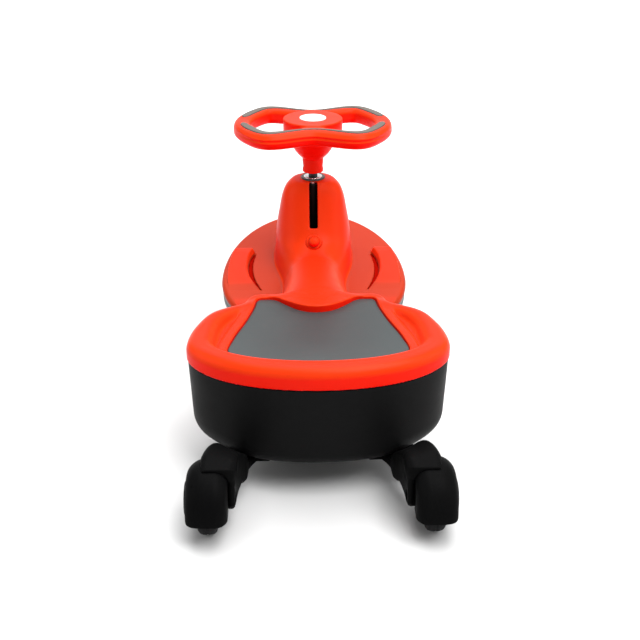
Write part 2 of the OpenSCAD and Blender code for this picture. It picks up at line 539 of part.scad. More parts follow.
module rear_tyre_right() { wheel_at(rear_track, REAR_Y) tyre(); }
module rear_hub_right() { wheel_at(rear_track, REAR_Y) hub(); }
module rear_bearings_right() { wheel_at(rear_track, REAR_Y) bearings(); }
module front_tyre_left() { wheel_at(-front_track, FRONT_Y) tyre(); }
module front_hub_left() { wheel_at(-front_track, FRONT_Y) hub(); }
module front_bearings_left() { wheel_at(-front_track, FRONT_Y) bearings(); }
module front_tyre_right() { wheel_at(front_track, FRONT_Y) tyre(); }
module front_hub_right() { wheel_at(front_track, FRONT_Y) hub(); }
module front_bearings_right() { wheel_at(front_track, FRONT_Y) bearings(); }
module roller(x) {
    color([0.16, 0.16, 0.17]) translate([x, ROLL_Y, ROLL_Z]) rotate([0, 90, 0]) rotate_extrude()
        polygon([[4 + run_clear, -8], [10, -8], [11, -6.5], [roller_r - 2.5, -7], [roller_r, -4.5], [roller_r, 4.5], [roller_r - 2.5, 7],
            [11, 6.5], [10, 8], [4 + run_clear, 8]]);
}
module safety_wheel_left() { roller(-16.5); }
module safety_wheel_right() { roller(16.5); }

upper_shell();
seat_bucket();
front_pan();
deck_trim();
seat_panel();
column_tube();
collar_ring();
top_bush();
bottom_bush();
horn_bezel();
horn_button();
horn_spring();
rear_arm_left();
rear_arm_right();
rear_fender_left();
rear_fender_right();
rear_axle_left();
rear_axle_right();
rear_axle_nuts();
shell_screws();
arm_screws();
steering_wheel();
grip_near();
grip_far();
hub_badge();
steering_column();
neck_bolt();
column_washer();
column_nut();
front_yoke();
front_fender_left();
front_fender_right();
front_axle();
front_axle_nuts();
safety_axle();
rear_tyre_left();
rear_hub_left();
rear_bearings_left();
rear_tyre_right();
rear_hub_right();
rear_bearings_right();
front_tyre_left();
front_hub_left();
front_bearings_left();
front_tyre_right();
front_hub_right();
front_bearings_right();
safety_wheel_left();
safety_wheel_right();
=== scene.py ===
"""Looks of the wiggle car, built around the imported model.

Shapes are worked out in millimetres with y measured as in the part's shape functions (YS ahead of
the frame's y), and become metres in the frame when a mesh is made. +Y is the driving direction.
"""

import json
import math

import bpy
import numpy as np
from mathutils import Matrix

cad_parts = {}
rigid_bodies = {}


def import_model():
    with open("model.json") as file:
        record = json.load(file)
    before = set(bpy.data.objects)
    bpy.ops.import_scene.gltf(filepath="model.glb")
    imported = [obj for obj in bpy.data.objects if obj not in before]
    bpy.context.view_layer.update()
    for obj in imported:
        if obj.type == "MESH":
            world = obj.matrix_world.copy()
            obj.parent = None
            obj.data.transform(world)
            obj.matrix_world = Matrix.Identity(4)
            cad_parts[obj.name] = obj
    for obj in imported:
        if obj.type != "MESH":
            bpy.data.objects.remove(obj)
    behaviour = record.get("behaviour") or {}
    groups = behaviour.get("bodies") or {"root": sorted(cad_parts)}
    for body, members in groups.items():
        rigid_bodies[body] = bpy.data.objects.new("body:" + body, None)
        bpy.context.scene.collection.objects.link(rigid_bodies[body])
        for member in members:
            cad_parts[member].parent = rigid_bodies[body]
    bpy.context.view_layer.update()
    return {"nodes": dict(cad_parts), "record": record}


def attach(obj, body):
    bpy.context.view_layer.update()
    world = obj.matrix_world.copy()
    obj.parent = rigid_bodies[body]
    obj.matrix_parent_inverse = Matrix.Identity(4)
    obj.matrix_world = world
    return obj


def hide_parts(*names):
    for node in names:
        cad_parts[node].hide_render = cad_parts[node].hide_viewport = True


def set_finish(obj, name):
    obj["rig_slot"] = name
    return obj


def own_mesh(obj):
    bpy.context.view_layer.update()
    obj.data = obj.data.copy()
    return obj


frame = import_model()
nodes = frame["nodes"]

FINE = 1.0
WALL = 4.4 * FINE  # shells a little thicker than moulded, so that both faces are resolved
YS = 203.25
AXD = 394.0        # steering axis
REAR_D = -125.0    # rear axle
FRONT_D = 504.0    # front axle
AXLE_Z = 44.0
TRACK_R = 141.5
TRACK_F = 62.0
PAN_Z = 112.0
BUCKET_Z = 44.0
ROLL_D = 560.0
ROLL_Z = 29.0


# ---------------------------------------------------------------- field helpers
def sstep(a, b, t):
    u = np.clip((t - a) / (b - a), 0.0, 1.0)
    return u * u * (3.0 - 2.0 * u)


def smin(a, b, k):
    h = np.maximum(k - np.abs(a - b), 0.0) / k
    return np.minimum(a, b) - h * h * k * 0.25


def smax(a, b, k):
    return -smin(-a, -b, k)


def rmax(a, b, r):
    """Intersection of two fields with a round edge of radius r."""
    return np.hypot(np.maximum(a + r, 0.0), np.maximum(b + r, 0.0)) + np.minimum(np.maximum(a, b) + r, 0.0) - r


def rbox(px, pz, hx, hz, r):
    return rmax(np.abs(px) - hx, np.abs(pz) - hz, r)


def ell(x, y, yc, a, b0, b1):
    """Signed distance to an egg: half-width a, half-lengths b0 behind and b1 ahead of yc."""
    b = np.where(y < yc, b0, b1)
    u, v = x / a, (y - yc) / b
    q = np.sqrt(u * u + v * v)
    g = np.sqrt((u / a) ** 2 + (v / b) ** 2) + 1e-9
    return q * (q - 1.0) / g


def curve(points):
    """Smooth monotone curve through (key, value) points, as a function of the key."""
    k = np.array([p[0] for p in points], float)
    v = np.array([p[1] for p in points], float)
    d = np.diff(v) / np.diff(k)
    m = np.zeros_like(v)
    for i in range(1, len(v) - 1):
        if d[i - 1] * d[i] > 0:
            w0, w1 = 2 * (k[i + 1] - k[i]) + (k[i] - k[i - 1]), (k[i + 1] - k[i]) + 2 * (k[i] - k[i - 1])
            m[i] = (w0 + w1) / (w0 / d[i - 1] + w1 / d[i])
    m[0], m[-1] = d[0], d[-1]
    tk = np.linspace(k[0], k[-1], 3000)
    i = np.clip(np.searchsorted(k, tk) - 1, 0, len(k) - 2)
    h = k[i + 1] - k[i]
    t = (tk - k[i]) / h
    tv = ((1 + 2 * t) * (1 - t) ** 2 * v[i] + t * (1 - t) ** 2 * h * m[i]
          + t * t * (3 - 2 * t) * v[i + 1] + t * t * (t - 1) * h * m[i + 1])
    return lambda q: np.interp(q, tk, tv)


def smooth_line(points, steps):
    """Points along a centripetal spline through the given ones."""
    p = np.array(points, float)
    p = np.vstack([2 * p[0] - p[1], p, 2 * p[-1] - p[-2]])
    out = []
    for i in range(1, len(p) - 2):
        p0, p1, p2, p3 = p[i - 1], p[i], p[i + 1], p[i + 2]
        t1 = np.linalg.norm(p1 - p0) ** 0.5
        t2 = t1 + np.linalg.norm(p2 - p1) ** 0.5
        t3 = t2 + np.linalg.norm(p3 - p2) ** 0.5
        for t in np.linspace(t1, t2, steps, endpoint=False):
            a1 = (t1 - t) / t1 * p0 + t / t1 * p1
            a2 = (t2 - t) / (t2 - t1) * p1 + (t - t1) / (t2 - t1) * p2
            a3 = (t3 - t) / (t3 - t2) * p2 + (t - t2) / (t3 - t2) * p3
            b1 = (t2 - t) / t2 * a1 + t / t2 * a2
            b2 = (t3 - t) / (t3 - t1) * a2 + (t - t1) / (t3 - t1) * a3
            out.append((t2 - t) / (t2 - t1) * b1 + (t - t1) / (t2 - t1) * b2)
    out.append(p[-2])
    return np.array(out)


def poly_d(x, y, pts, closed=False):
    """Signed distance to an outline, negative inside; an open one is closed along its own axis."""
    x, y = np.broadcast_arrays(x, y)
    best = np.full(x.shape, 1e12)
    odd = np.zeros(x.shape, bool)
    seq = list(zip(pts, np.roll(pts, -1, axis=0))) if closed else list(zip(pts[:-1], pts[1:]))
    for (ax, ay), (bx, by) in seq:
        ex, ey = bx - ax, by - ay
        wx, wy = x - ax, y - ay
        t = np.clip((wx * ex + wy * ey) / (ex * ex + ey * ey + 1e-12), 0.0, 1.0)
        best = np.minimum(best, (wx - ex * t) ** 2 + (wy - ey * t) ** 2)
        if ey != 0:
            odd ^= ((ay > y) != (by > y)) & (x < ax + ex * (y - ay) / ey)
    d = np.sqrt(best)
    return np.where(odd, -d, d)


# ---------------------------------------------------------------- meshing
CORNERS = [(0, 0, 0), (1, 0, 0), (0, 1, 0), (1, 1, 0), (0, 0, 1), (1, 0, 1), (0, 1, 1), (1, 1, 1)]
EDGES = [(0, 1), (2, 3), (4, 5), (6, 7), (0, 2), (1, 3), (4, 6), (5, 7), (0, 4), (1, 5), (2, 6), (3, 7)]


def gradient(field, p, e):
    g = np.empty_like(p)
    for c in range(3):
        d = np.zeros(3)
        d[c] = e
        a, b = p + d, p - d
        g[:, c] = (field(a[:, 0], a[:, 1], a[:, 2]) - field(b[:, 0], b[:, 1], b[:, 2])) / (2 * e)
    return g


def part_sheets(p, q, heart, cross):
    """Where two sheets of the surface run through one cell, gives each sheet a vertex of its own.
    heart is the grid point beside each quad that holds a sheet together, cross the place where the quad's grid line meets the surface."""
    a, b = q, np.roll(q, -1, axis=1)
    key = np.minimum(a, b).astype(np.int64) * len(p) + np.maximum(a, b)
    _, edge, count = np.unique(key.ravel(), return_inverse=True, return_counts=True)
    edge = edge.reshape(q.shape)
    shared = count > 2
    if not shared.any():
        return p, q
    hit = np.zeros(len(p), bool)
    hit[a[shared[edge]]] = True
    hit[b[shared[edge]]] = True
    fans = {}
    for r in np.nonzero(hit[q].any(1))[0]:
        for v in q[r]:
            if hit[v]:
                fans.setdefault(int(v), []).append(int(r))
    p, out, extra = p.copy(), q.copy(), []
    for v, fan in fans.items():
        group = {r: r for r in fan}

        def root(r):
            while group[r] != r:
                r = group[r]
            return r

        seen = {}
        for r in fan:
            for c in range(4):
                if v == a[r, c] or v == b[r, c]:
                    e = int(edge[r, c])
                    tag = (e, int(heart[r]) if shared[e] else -1)
                    if tag in seen:
                        group[root(r)] = root(seen[tag])
                    else:
                        seen[tag] = r
        roots = sorted({root(r) for r in fan})
        if len(roots) < 2:
            continue
        for k, g in enumerate(roots):
            mine = [r for r in fan if root(r) == g]
            if k == 0:
                p[v] = cross[mine].mean(0)
                continue
            for r in mine:
                out[r][q[r] == v] = len(p) + len(extra)
            extra.append(cross[mine].mean(0))
    return (np.vstack([p, extra]) if extra else p), out


def mesh_field(field, lo, hi, h):
    """Quads on the zero surface of a field: dual vertices, then moved onto the surface."""
    ax = [np.arange(lo[c] - 2 * h, hi[c] + 3 * h, h) for c in range(3)]
    n = [len(a) for a in ax]
    f = np.empty(n, np.float32)
    for i in range(0, n[0], 24):
        f[i:i + 24] = field(ax[0][i:i + 24, None, None], ax[1][None, :, None], ax[2][None, None, :])
    s = f < 0
    cnt = np.zeros([m - 1 for m in n], np.int8)
    for dx, dy, dz in CORNERS:
        cnt += s[dx:n[0] - 1 + dx, dy:n[1] - 1 + dy, dz:n[2] - 1 + dz]
    act = np.argwhere((cnt > 0) & (cnt < 8))
    index = np.full(cnt.shape, -1, np.int32)
    index[act[:, 0], act[:, 1], act[:, 2]] = np.arange(len(act))
    val = np.stack([f[act[:, 0] + a, act[:, 1] + b, act[:, 2] + c] for a, b, c in CORNERS], 1).astype(float)
    pos = np.zeros((len(act), 3))
    num = np.zeros(len(act))
    for a, b in EDGES:
        va, vb = val[:, a], val[:, b]
        m = (va < 0) != (vb < 0)
        t = va[m] / (va[m] - vb[m])
        ca, cb = np.array(CORNERS[a], float), np.array(CORNERS[b], float)
        pos[m] += ca + (cb - ca) * t[:, None]
        num[m] += 1
    corner = np.array([a[0] for a in ax])
    p = corner + (act + pos / num[:, None]) * h
    quads, within, beyond, cross = [], [], [], []
    for axis in range(3):
        u, v = (axis + 1) % 3, (axis + 2) % 3
        s0 = np.moveaxis(s, (axis, u, v), (0, 1, 2))
        ix = np.moveaxis(index, (axis, u, v), (0, 1, 2))
        e = s0[:-1, 1:-1, 1:-1] != s0[1:, 1:-1, 1:-1]
        i, j, k = np.nonzero(e)
        q = np.stack([ix[i, j, k], ix[i, j + 1, k], ix[i, j + 1, k + 1], ix[i, j, k + 1]], 1)
        flip = ~s0[:-1, 1:-1, 1:-1][e]
        q[flip] = q[flip][:, ::-1]
        quads.append(q)
        f0 = np.moveaxis(f, (axis, u, v), (0, 1, 2))
        va, vb = f0[i, j + 1, k + 1].astype(float), f0[i + 1, j + 1, k + 1].astype(float)
        at, node = np.empty((len(i), 3)), np.empty((len(i), 3), np.int64)
        at[:, axis], at[:, u], at[:, v] = i + va / (va - vb), j + 1, k + 1
        cross.append(corner + at * h)
        for ids, step in ((within, va >= 0), (beyond, va < 0)):
            node[:, axis], node[:, u], node[:, v] = i + step, j + 1, k + 1
            ids.append((node[:, 0] * n[1] + node[:, 1]) * n[2] + node[:, 2])
    q, cross = np.concatenate(quads), np.concatenate(cross)
    p, q = part_sheets(p, q, np.concatenate(within), cross)
    p, q = part_sheets(p, q, np.concatenate(beyond), cross)
    start = p.copy()
    for _ in range(3):
        g = gradient(field, p, 0.04)
        w = field(p[:, 0], p[:, 1], p[:, 2]) / np.maximum((g * g).sum(1), 0.05)
        p = p - g * w[:, None]
        off = p - start
        far = np.linalg.norm(off, axis=1)
        p = start + off * np.minimum(1.0, 0.8 * h / np.maximum(far, 1e-9))[:, None]
    g = gradient(field, p, 0.25)
    g /= np.maximum(np.linalg.norm(g, axis=1), 1e-9)[:, None]
    return p, q, g


def to_frame(p):
    return (np.asarray(p, float) - np.array([0.0, YS, 0.0])) * 0.001


def new_object(name, p, faces, normals=None, smooth=True):
    """Object from design millimetres."""
    me = bpy.data.meshes.new(name)
    me.from_pydata(to_frame(p).tolist(), [], [list(map(int, f)) for f in faces])
    me.validate()
    me.polygons.foreach_set("use_smooth", [smooth] * len(me.polygons))
    if normals is not None and len(normals) == len(me.vertices):
        me.normals_split_custom_set_from_vertices(np.asarray(normals, float).tolist())
    me.update()
    o = bpy.data.objects.new(name, me)
    bpy.context.scene.collection.objects.link(o)
    return o


def mirrored(p, faces, normals=None):
    """The same mesh mirrored in x."""
    flip = np.array([-1.0, 1.0, 1.0])
    return p * flip, np.asarray(faces)[:, ::-1], None if normals is None else normals * flip


def place(o, body, slot, *replaced):
    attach(o, body)
    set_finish(o, slot)
    if replaced:
        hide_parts(*replaced)
    return o


def loft(rings, closed_u=True, closed_v=False, cap=False):
    """Quads between rings of points; u runs along a ring, v from ring to ring."""
    m, n = len(rings), len(rings[0])
    p = np.array(rings, float).reshape(-1, 3)
    faces = []
    for r in range(m if closed_v else m - 1):
        r1 = (r + 1) % m
        for k in range(n if closed_u else n - 1):
            k1 = (k + 1) % n
            faces.append((r * n + k, r * n + k1, r1 * n + k1, r1 * n + k))
    if cap:
        faces.append(tuple(reversed(range(n))))
        faces.append(tuple((m - 1) * n + k for k in range(n)))
    return p, faces


def sharpen(o, angle):
    """Smooth shading that breaks at edges steeper than the angle."""
    o.data.set_sharp_from_angle(angle=math.radians(angle))
    return o


def revolve(profile, n, centre, axis):
    """Closed solid of revolution of (radius, height) points about an axis through centre; radius 0 closes an end."""
    a = np.array(axis, float)
    a /= np.linalg.norm(a)
    s = np.cross(a, [0.0, 0.0, 1.0] if abs(a[2]) < 0.9 else [1.0, 0.0, 0.0])
    s /= np.linalg.norm(s)
    t = np.cross(a, s)
    ang = np.arange(n) * 2 * math.pi / n
    ring_dir = np.cos(ang)[:, None] * s + np.sin(ang)[:, None] * t
    c = np.array(centre, float)
    verts, faces, rows = [], [], []
    for r, h in profile:
        if r < 1e-6:
            rows.append([len(verts)])
            verts.append(c + a * h)
        else:
            rows.append(list(range(len(verts), len(verts) + n)))
            verts.extend(c + a * h + ring_dir * r)
    pairs = list(zip(rows[:-1], rows[1:]))
    if len(rows[0]) > 1 and len(rows[-1]) > 1:
        pairs.append((rows[-1], rows[0]))
    for r0, r1 in pairs:
        for k in range(n):
            k1 = (k + 1) % n
            if len(r0) == 1 and len(r1) == 1:
                continue
            if len(r0) == 1:
                faces.append((r0[0], r1[k], r1[k1])[::-1])
            elif len(r1) == 1:
                faces.append((r0[k], r0[k1], r1[0]))
            else:
                faces.append((r0[k], r0[k1], r1[k1], r1[k]))
    return np.array(verts), faces


def rounded(points, radius, steps=5, closed=False):
    """Polyline with its corners rounded; radius may be one number or one per point."""
    p = [np.array(q, float) for q in points]
    n = len(p)
    rad = radius if hasattr(radius, "__len__") else [radius] * n
    out = []
    for i in range(n):
        if not closed and i in (0, n - 1) or rad[i] <= 0:
            out.append(p[i])
            continue
        a, b, c = p[i - 1], p[i], p[(i + 1) % n]
        u, v = a - b, c - b
        lu, lv = np.linalg.norm(u), np.linalg.norm(v)
        u, v = u / lu, v / lv
        half = math.acos(max(-1.0, min(1.0, float(u @ v)))) / 2
        t = min(rad[i] / max(math.tan(half), 1e-6), 0.48 * lu, 0.48 * lv)
        q0, q1 = b + u * t, b + v * t
        for s in np.linspace(0, 1, steps + 1):
            out.append((1 - s) ** 2 * q0 + 2 * s * (1 - s) * b + s * s * q1)
    return np.array(out)


# ---------------------------------------------------------------- body fields
PANEL_HALF = [(0, -27), (27, -25.8), (52, -22), (72, -17), (90, -10.8), (104, -4.8), (113.5, 1), (118.2, 7.5), (118.6, 16),
              (114, 38), (110, 55), (105.3, 71), (99, 92), (93.5, 114), (89, 135), (86.5, 150), (85.5, 160), (82, 166.5),
              (74, 168), (62, 167), (55, 163), (48, 155), (38, 144), (28, 134.5), (17.5, 128), (8, 125.3), (0, 124.6)]
PANEL = smooth_line(PANEL_HALF, 4)
TOWER_X = curve([(100, 68), (150, 63.5), (180, 61.5), (200, 60), (216, 58), (237, 54.3), (250, 52), (262, 49.3), (275, 44.3), (283, 38.3), (288, 32), (291, 23), (300, 18)])
TOWER_R = curve([(100, 116), (150, 96), (190, 78), (204, 67.5), (225, 56), (245, 47), (262, 40), (275, 35), (284, 30.5), (288, 28), (291, 23), (300, 18)])
TOWER_F = curve([(100, 90), (150, 78), (190, 64), (225, 52), (262, 40), (275, 35), (284, 30.5), (288, 28), (291, 23), (300, 18)])


def deck_z(y):
    return smax(145.0 + (y - 320.0) * 0.1405, 134.0, 10.0)


def seam_z(y):
    t = sstep(140, 200, y)
    return (164.0 + 3.0 * sstep(-60, 5, y)) * (1 - t) + (deck_z(y) - 9.0) * t


def seat_plan(x, y):
    return ell(x, y, 25.0, 174.5, 93.0, 165.0)


def deck_plan(x, y):
    return ell(x, y, 335.0, 147.0, 164.0, 211.0)


def waist_plan(x, y):
    return np.maximum(np.abs(x) - 98.0, np.abs(y - 195.0) - 120.0)


def body_plan(x, y):
    return smin(smin(seat_plan(x, y), deck_plan(x, y), 30.0), waist_plan(x, y), 30.0)


CRESCENT = np.array([(97.5, 401), (103, 385), (105.2, 369), (105.6, 352), (102.8, 335), (97.2, 319), (90.6, 303), (83, 289.5), (82.0, 289.6),
                     (87, 303), (92, 317), (96.4, 335), (98.0, 350), (98.6, 369), (97.2, 385), (94.3, 400)], float)
SPINE_W = curve([(100, 112), (128, 106), (160, 88), (195, 66), (230, 54.5), (270, 50), (310, 49), (430, 52)])


def body_outer(x, y, z):
    """Outer skin of the red top, with the panel's recess and without the openings."""
    pd = poly_d(np.abs(x), y, PANEL)
    ds = seat_plan(x, y)
    # seat rim: a fat roll, thinner and lower towards the waist
    crest = 194.0 - 9.0 * sstep(95, 160, y)
    wide = 37.0 - 12.0 * sstep(30, 125, y)
    hh = (crest - 146.0) / 2
    r = np.minimum(15.5, wide / 2 - 0.2)
    roll = rbox(-ds - wide / 2, z - (crest + 146.0) / 2, wide / 2, hh, r)
    # border round the panel, and the floor of the valley outside it
    edge = 182.6 + 2.4 * sstep(-10, 50, y)
    border = smax(pd - 14.5, z - edge, 5.0)
    floor = np.maximum(z - 178.5, ds + 14.0)
    seat = smin(roll, smin(border, floor, 6.0), 6.0)
    seat = np.maximum(seat, 150.0 - z)
    # deck with round edge, and the wedge-shaped foot pads with sloping inner walls
    dp = smin(deck_plan(x, y), waist_plan(x, y), 30.0)
    zd = deck_z(y)
    deck = rmax(dp, z - zd, 8.0)
    rb = np.hypot(x, y - 358.0)
    wall = (106.0 - rb) * 0.92 + (z - zd) * 0.39
    pad2 = smax(smax(wall, deck_plan(x, y) + 9.0, 3.0), np.abs(y - 350.0) - 56.0, 2.0)
    pad = smax(pad2, z - (zd + np.clip((y - 298.0) * 0.10, -2.0, 9.5)), 1.6)
    deck = smin(deck, pad, 1.2)
    groove = np.maximum(poly_d(np.abs(x), y, CRESCENT, closed=True), zd - 3.4 - z)
    deck = smax(deck, -groove, 1.4)
    # spine from the seat's front lip to the tower
    hw = SPINE_W(y)
    n = 2.7
    sp = (np.abs(x) / hw) ** n + (np.maximum(z - 108.0, 0.0) / 83.0) ** n
    spine = np.maximum((sp ** (1 / n) - 1.0) * np.minimum(hw, 62.0), np.maximum(116.0 - y, y - 420.0))
    # tower
    ay = np.where(y < 400.0, TOWER_R(z), TOWER_F(z))
    tx = TOWER_X(z)
    tn = 2.25
    tq = ((np.abs(x) / tx) ** tn + (np.abs(y - 400.0) / ay) ** tn) ** (1 / tn)
    tower = smax((tq - 1.0) * np.minimum(tx, ay) * 0.96, z - 291.0, 3.0)
    up = smin(tower, spine, 18.0)
    d = smin(deck, up, 6.0 + 22.0 * (1 - sstep(190, 270, y)))
    d = smin(d, seat, 10.0)
    # recess for the panel
    cut = np.maximum(pd - 1.1, 178.0 - z)
    return smax(d, -cut, 1.8)


HORN_C = np.array([0.0, 331.0, 205.0])
HORN_A = np.array([0.0, -math.sin(math.radians(60)), math.cos(math.radians(60))])


def horn_coords(x, y, z):
    h = (y - HORN_C[1]) * HORN_A[1] + (z - HORN_C[2]) * HORN_A[2]
    v = (y - HORN_C[1]) * HORN_A[2] - (z - HORN_C[2]) * HORN_A[1]
    return np.hypot(x, v), h


def upper_shell(x, y, z):
    d = body_outer(x, y, z)
    d = np.maximum(d, -(d + WALL))
    d = smax(d, seam_z(y) - z, 1.2)
    # slot in the tower's rear
    slot = rbox(x, z - 255.5, 6.5, 33.0, 2.6)
    d = smax(d, -np.maximum(slot, y - 384.0), 1.6)
    d = smax(d, -np.maximum(np.hypot(x, y - AXD) - 11.4, 262.0 - z), 1.2)
    hr, hh = horn_coords(x, y, z)
    d = smax(d, -np.maximum(hr - 10.9, np.abs(hh) - 30.0), 1.0)
    return smax(d, -np.maximum(hr - 12.5, np.abs(hh - 18.5) - 20.0), 1.0)


def bucket_outer(x, y, z):
    plan = smax(smin(seat_plan(x, y), waist_plan(x, y), 30.0), y - 180.0, 30.0)
    return rmax(plan + 1.6 + (162.0 - z) * 0.042, BUCKET_Z - z, 21.0 + 19.0 * sstep(70.0, 150.0, np.abs(x)))


def bucket(x, y, z):
    d = bucket_outer(x, y, z)
    d = smax(np.maximum(d, -(d + WALL)), z - (seam_z(y) - 0.4), 1.0)
    for sx, sy in ((95.0, 12.0), (66.0, 100.0)):
        rr = np.hypot(np.abs(x) - sx, y - sy)
        d = smin(d, np.maximum(np.maximum(rr - 9.0, z - 150.0), 45.0 - z), 1.0)
        d = smax(d, -np.maximum(rr - 6.0, z - 140.0), 1.0)
    return d


def pan(x, y, z):
    plan = smax(smin(deck_plan(x, y), waist_plan(x, y), 30.0), 182.0 - y, 20.0)
    d = rmax(plan + 6.0, PAN_Z - z, 14.0)
    d = smax(np.maximum(d, -(d + WALL)), z - (seam_z(y) - 0.4), 1.0)
    rc = np.hypot(x, y - AXD)
    d = smin(d, np.maximum(np.maximum(rc - 20.0, z - 135.0), 112.5 - z), 3.0)
    d = smax(d, -np.maximum(rc - 11.0, z - 160.0), 0.8)
    for sx, sy in ((98.0, 300.0), (86.0, 430.0)):
        rr = np.hypot(np.abs(x) - sx, y - sy)
        d = smin(d, np.maximum(np.maximum(rr - 8.0, z - 127.0), 112.5 - z), 1.0)
        d = smax(d, -np.maximum(rr - 5.5, z - 119.0), 0.8)
    return d


# ---------------------------------------------------------------- carriers
ARM_LEG = np.array([(-20, 34), (-20, 43.7), (-44, 47), (-53, 60), (-64, 70), (-80, 81.5), (-95, 91), (-108, 96), (-122, 97), (-130, 88),
                    (-137, 66), (-140.5, 52), (-139, 42), (-133, 35), (-124, 32.5), (-112, 33), (-96, 36), (-84, 38), (-76, 33),
                    (-66, 30.5), (-58, 32), (-46, 34)], float)
ARM_IN = curve([(-160, 107), (-118, 106.6), (-106, 105.4), (-90, 102.2), (-76, 98), (-64, 94.8), (-50, 93.6), (90, 93.6)])
ARM_OUT = curve([(-160, 152), (-130, 151.6), (-112, 150.2), (-104, 148.6), (-92, 145), (-78, 138), (-60, 125), (-40, 117), (90, 112)])
ARM_TOP_IN = curve([(-160, 88), (-146, 93.5), (-139, 96.2), (-132, 98.2), (-124, 99.2), (-116, 98.6), (-106, 95.8), (-92, 88.5), (-78, 79.5), (-64, 69.5), (-52, 60), (-36, 50), (90, 40)])
ARM_TOP_OUT = curve([(-160, 88), (-146, 93.5), (-139, 96.2), (-132, 98.4), (-124, 100.4), (-112, 103), (-98, 103.6), (-86, 102), (-76, 97.6), (-60, 85.5), (-36, 69), (0, 50), (90, 40)])
ARM_PINS = ((100.0, -8.0), (120.0, -8.0), (100.0, 46.0), (120.0, 46.0))


def fender_edge(x, z):
    """Edge radius of a fender: tighter on the outer side low down."""
    return 17.0 + (7.5 * sstep(-14.0, 36.0, z) - 5.5) * sstep(-8.0, 8.0, x)


def rear_arm(x, y, z):
    rho = np.hypot(y - REAR_D, z - AXLE_Z)
    drum = rmax(rho - 50.5, np.abs(x - TRACK_R) - 26.0, fender_edge(x - TRACK_R, z - AXLE_Z))
    # hood over the fender's inner part: rises from under the bucket, ends in a ledge
    t = sstep(98.0, 138.0, x)
    top = ARM_TOP_IN(y) * (1 - t) + ARM_TOP_OUT(y) * t
    low = 34.0 + 0.85 * np.clip(-50.0 - y, 0.0, 54.0)
    hood = rmax((z - top) * 0.84, x - ARM_OUT(y), 11.0)
    hood = smax(hood, np.maximum(-139.5 - y, y + 12.0), 1.6)
    hood = smax(smax(hood, (low - z) * 0.76, 4.0), 106.0 - x, 12.0)
    hood = smax(hood, 0.5 - drum, 0.8)
    # leg beside the wheel, down to the axle
    leg = rmax(poly_d(y, z, ARM_LEG, closed=True), np.maximum(ARM_IN(y) - x, x - 115.2) * 0.96, 4.0)
    d = smin(hood, leg, 12.0)
    # foot under the bucket, with its screw bosses
    foot = rmax(rmax(np.abs(x - 97.0) - 31.0, np.abs(y - 5.0) - 55.0, 24.0), np.abs(z - 38.6) - 5.1, 2.0)
    foot = smax(foot, -28.0 - y - 1.6 * np.maximum(x - 84.0, 0.0), 3.0)
    d = smin(d, foot, 7.0)
    for px, py in ARM_PINS:
        rr = np.hypot(x - px, y - py)
        d = smin(d, np.maximum(rr - 7.5, np.abs(z - 35.0) - 5.5), 3.0)
        d = smax(d, -np.maximum(rr - 5.0, z - 33.0), 0.8)
    d = smin(d, rmax(rho - 12.5, np.abs(x - 118.0) - 7.5, 2.0), 2.0)
    d = np.maximum(d, -np.maximum(drum - 0.45, 14.3 - rho))
    # clear of the bucket, the nut and the axle
    d = smax(d, -(bucket_outer(x, y, z) - 0.8), 1.0)
    d = smax(d, -np.maximum(rho - 9.0, x - 115.9), 0.8)
    return smax(d, -(rho - 4.05), 0.6)


def fender(x, y, z):
    """Hood about an axle at the origin, its outer side at +x."""
    rho = np.hypot(y, z)
    d = rmax(rho - 50.5 + 2.4 * sstep(0.0, 22.0, x), np.abs(x) - 26.0, fender_edge(x, z))
    d = np.maximum(d, -rmax(rho - 46.2 + 1.2 * sstep(8.0, 22.0, x), np.abs(x) - 21.7, 13.0))
    cap = rmax(rho - 24.0, np.abs(x - 22.0) - 6.5, 2.6)
    d = smin(d, np.maximum(cap, 22.5 - x), 1.2)
    d = smax(d, -9.5 - z, 2.0)
    d = np.minimum(d, np.maximum(rho - 7.0, np.abs(x - 18.3) - 4.7))
    d = smax(d, -np.maximum(rho - 16.0, x - 0.0), 1.0)
    d = smax(d, -np.maximum(rho - 8.2, 25.0 - x), 0.8)
    return np.maximum(d, -(rho - 4.05))


def front_yoke(x, y, z):
    rc = np.hypot(x, y - AXD)
    rho = np.hypot(y - FRONT_D, z - AXLE_Z)
    d = rmax(rc - 24.0, np.abs(z - 95.6) - 11.6, 3.0)
    t = np.clip((y - AXD) / (FRONT_D - AXD), 0.0, 1.0)
    beam = rmax(np.hypot(x, y - (AXD + t * (FRONT_D - AXD))) - (22.0 - 2.0 * t), np.abs(z - 94.0) - 10.0, 4.0)
    d = smin(d, beam, 6.0)
    web = rmax(np.abs(x) - 20.0, smax(np.abs(y - FRONT_D) - (14.0 + 0.07 * (z - 44.0)), np.abs(z - 70.0) - 27.0, 2.0), 4.0)
    d = smin(d, web, 8.0)
    bar = rmax(rmax(np.abs(x) - 36.2, np.abs(y - FRONT_D) - 18.0, 3.0), np.abs(z - 83.0) - 9.0, 3.0)
    d = smin(d, bar, 6.0)
    d = smin(d, rmax(rho - 14.0, np.abs(x) - 46.0, 2.0), 6.0)
    ex, ez = ROLL_D - FRONT_D, ROLL_Z - AXLE_Z
    u = np.clip(((y - FRONT_D) * ex + (z - AXLE_Z) * ez) / (ex * ex + ez * ez), 0.0, 1.0)
    nose = np.hypot(y - FRONT_D - ex * u, z - AXLE_Z - ez * u) - (11.0 - u)
    d = smin(d, rmax(nose, np.abs(x) - 7.0, 2.0), 5.0)
    d = smax(d, -np.maximum(rc - 7.0, z - 200.0), 0.6)
    d = smax(d, -(rho - 4.05), 0.6)
    return smax(d, -(np.hypot(y - ROLL_D, z - ROLL_Z) - 4.0), 0.6)


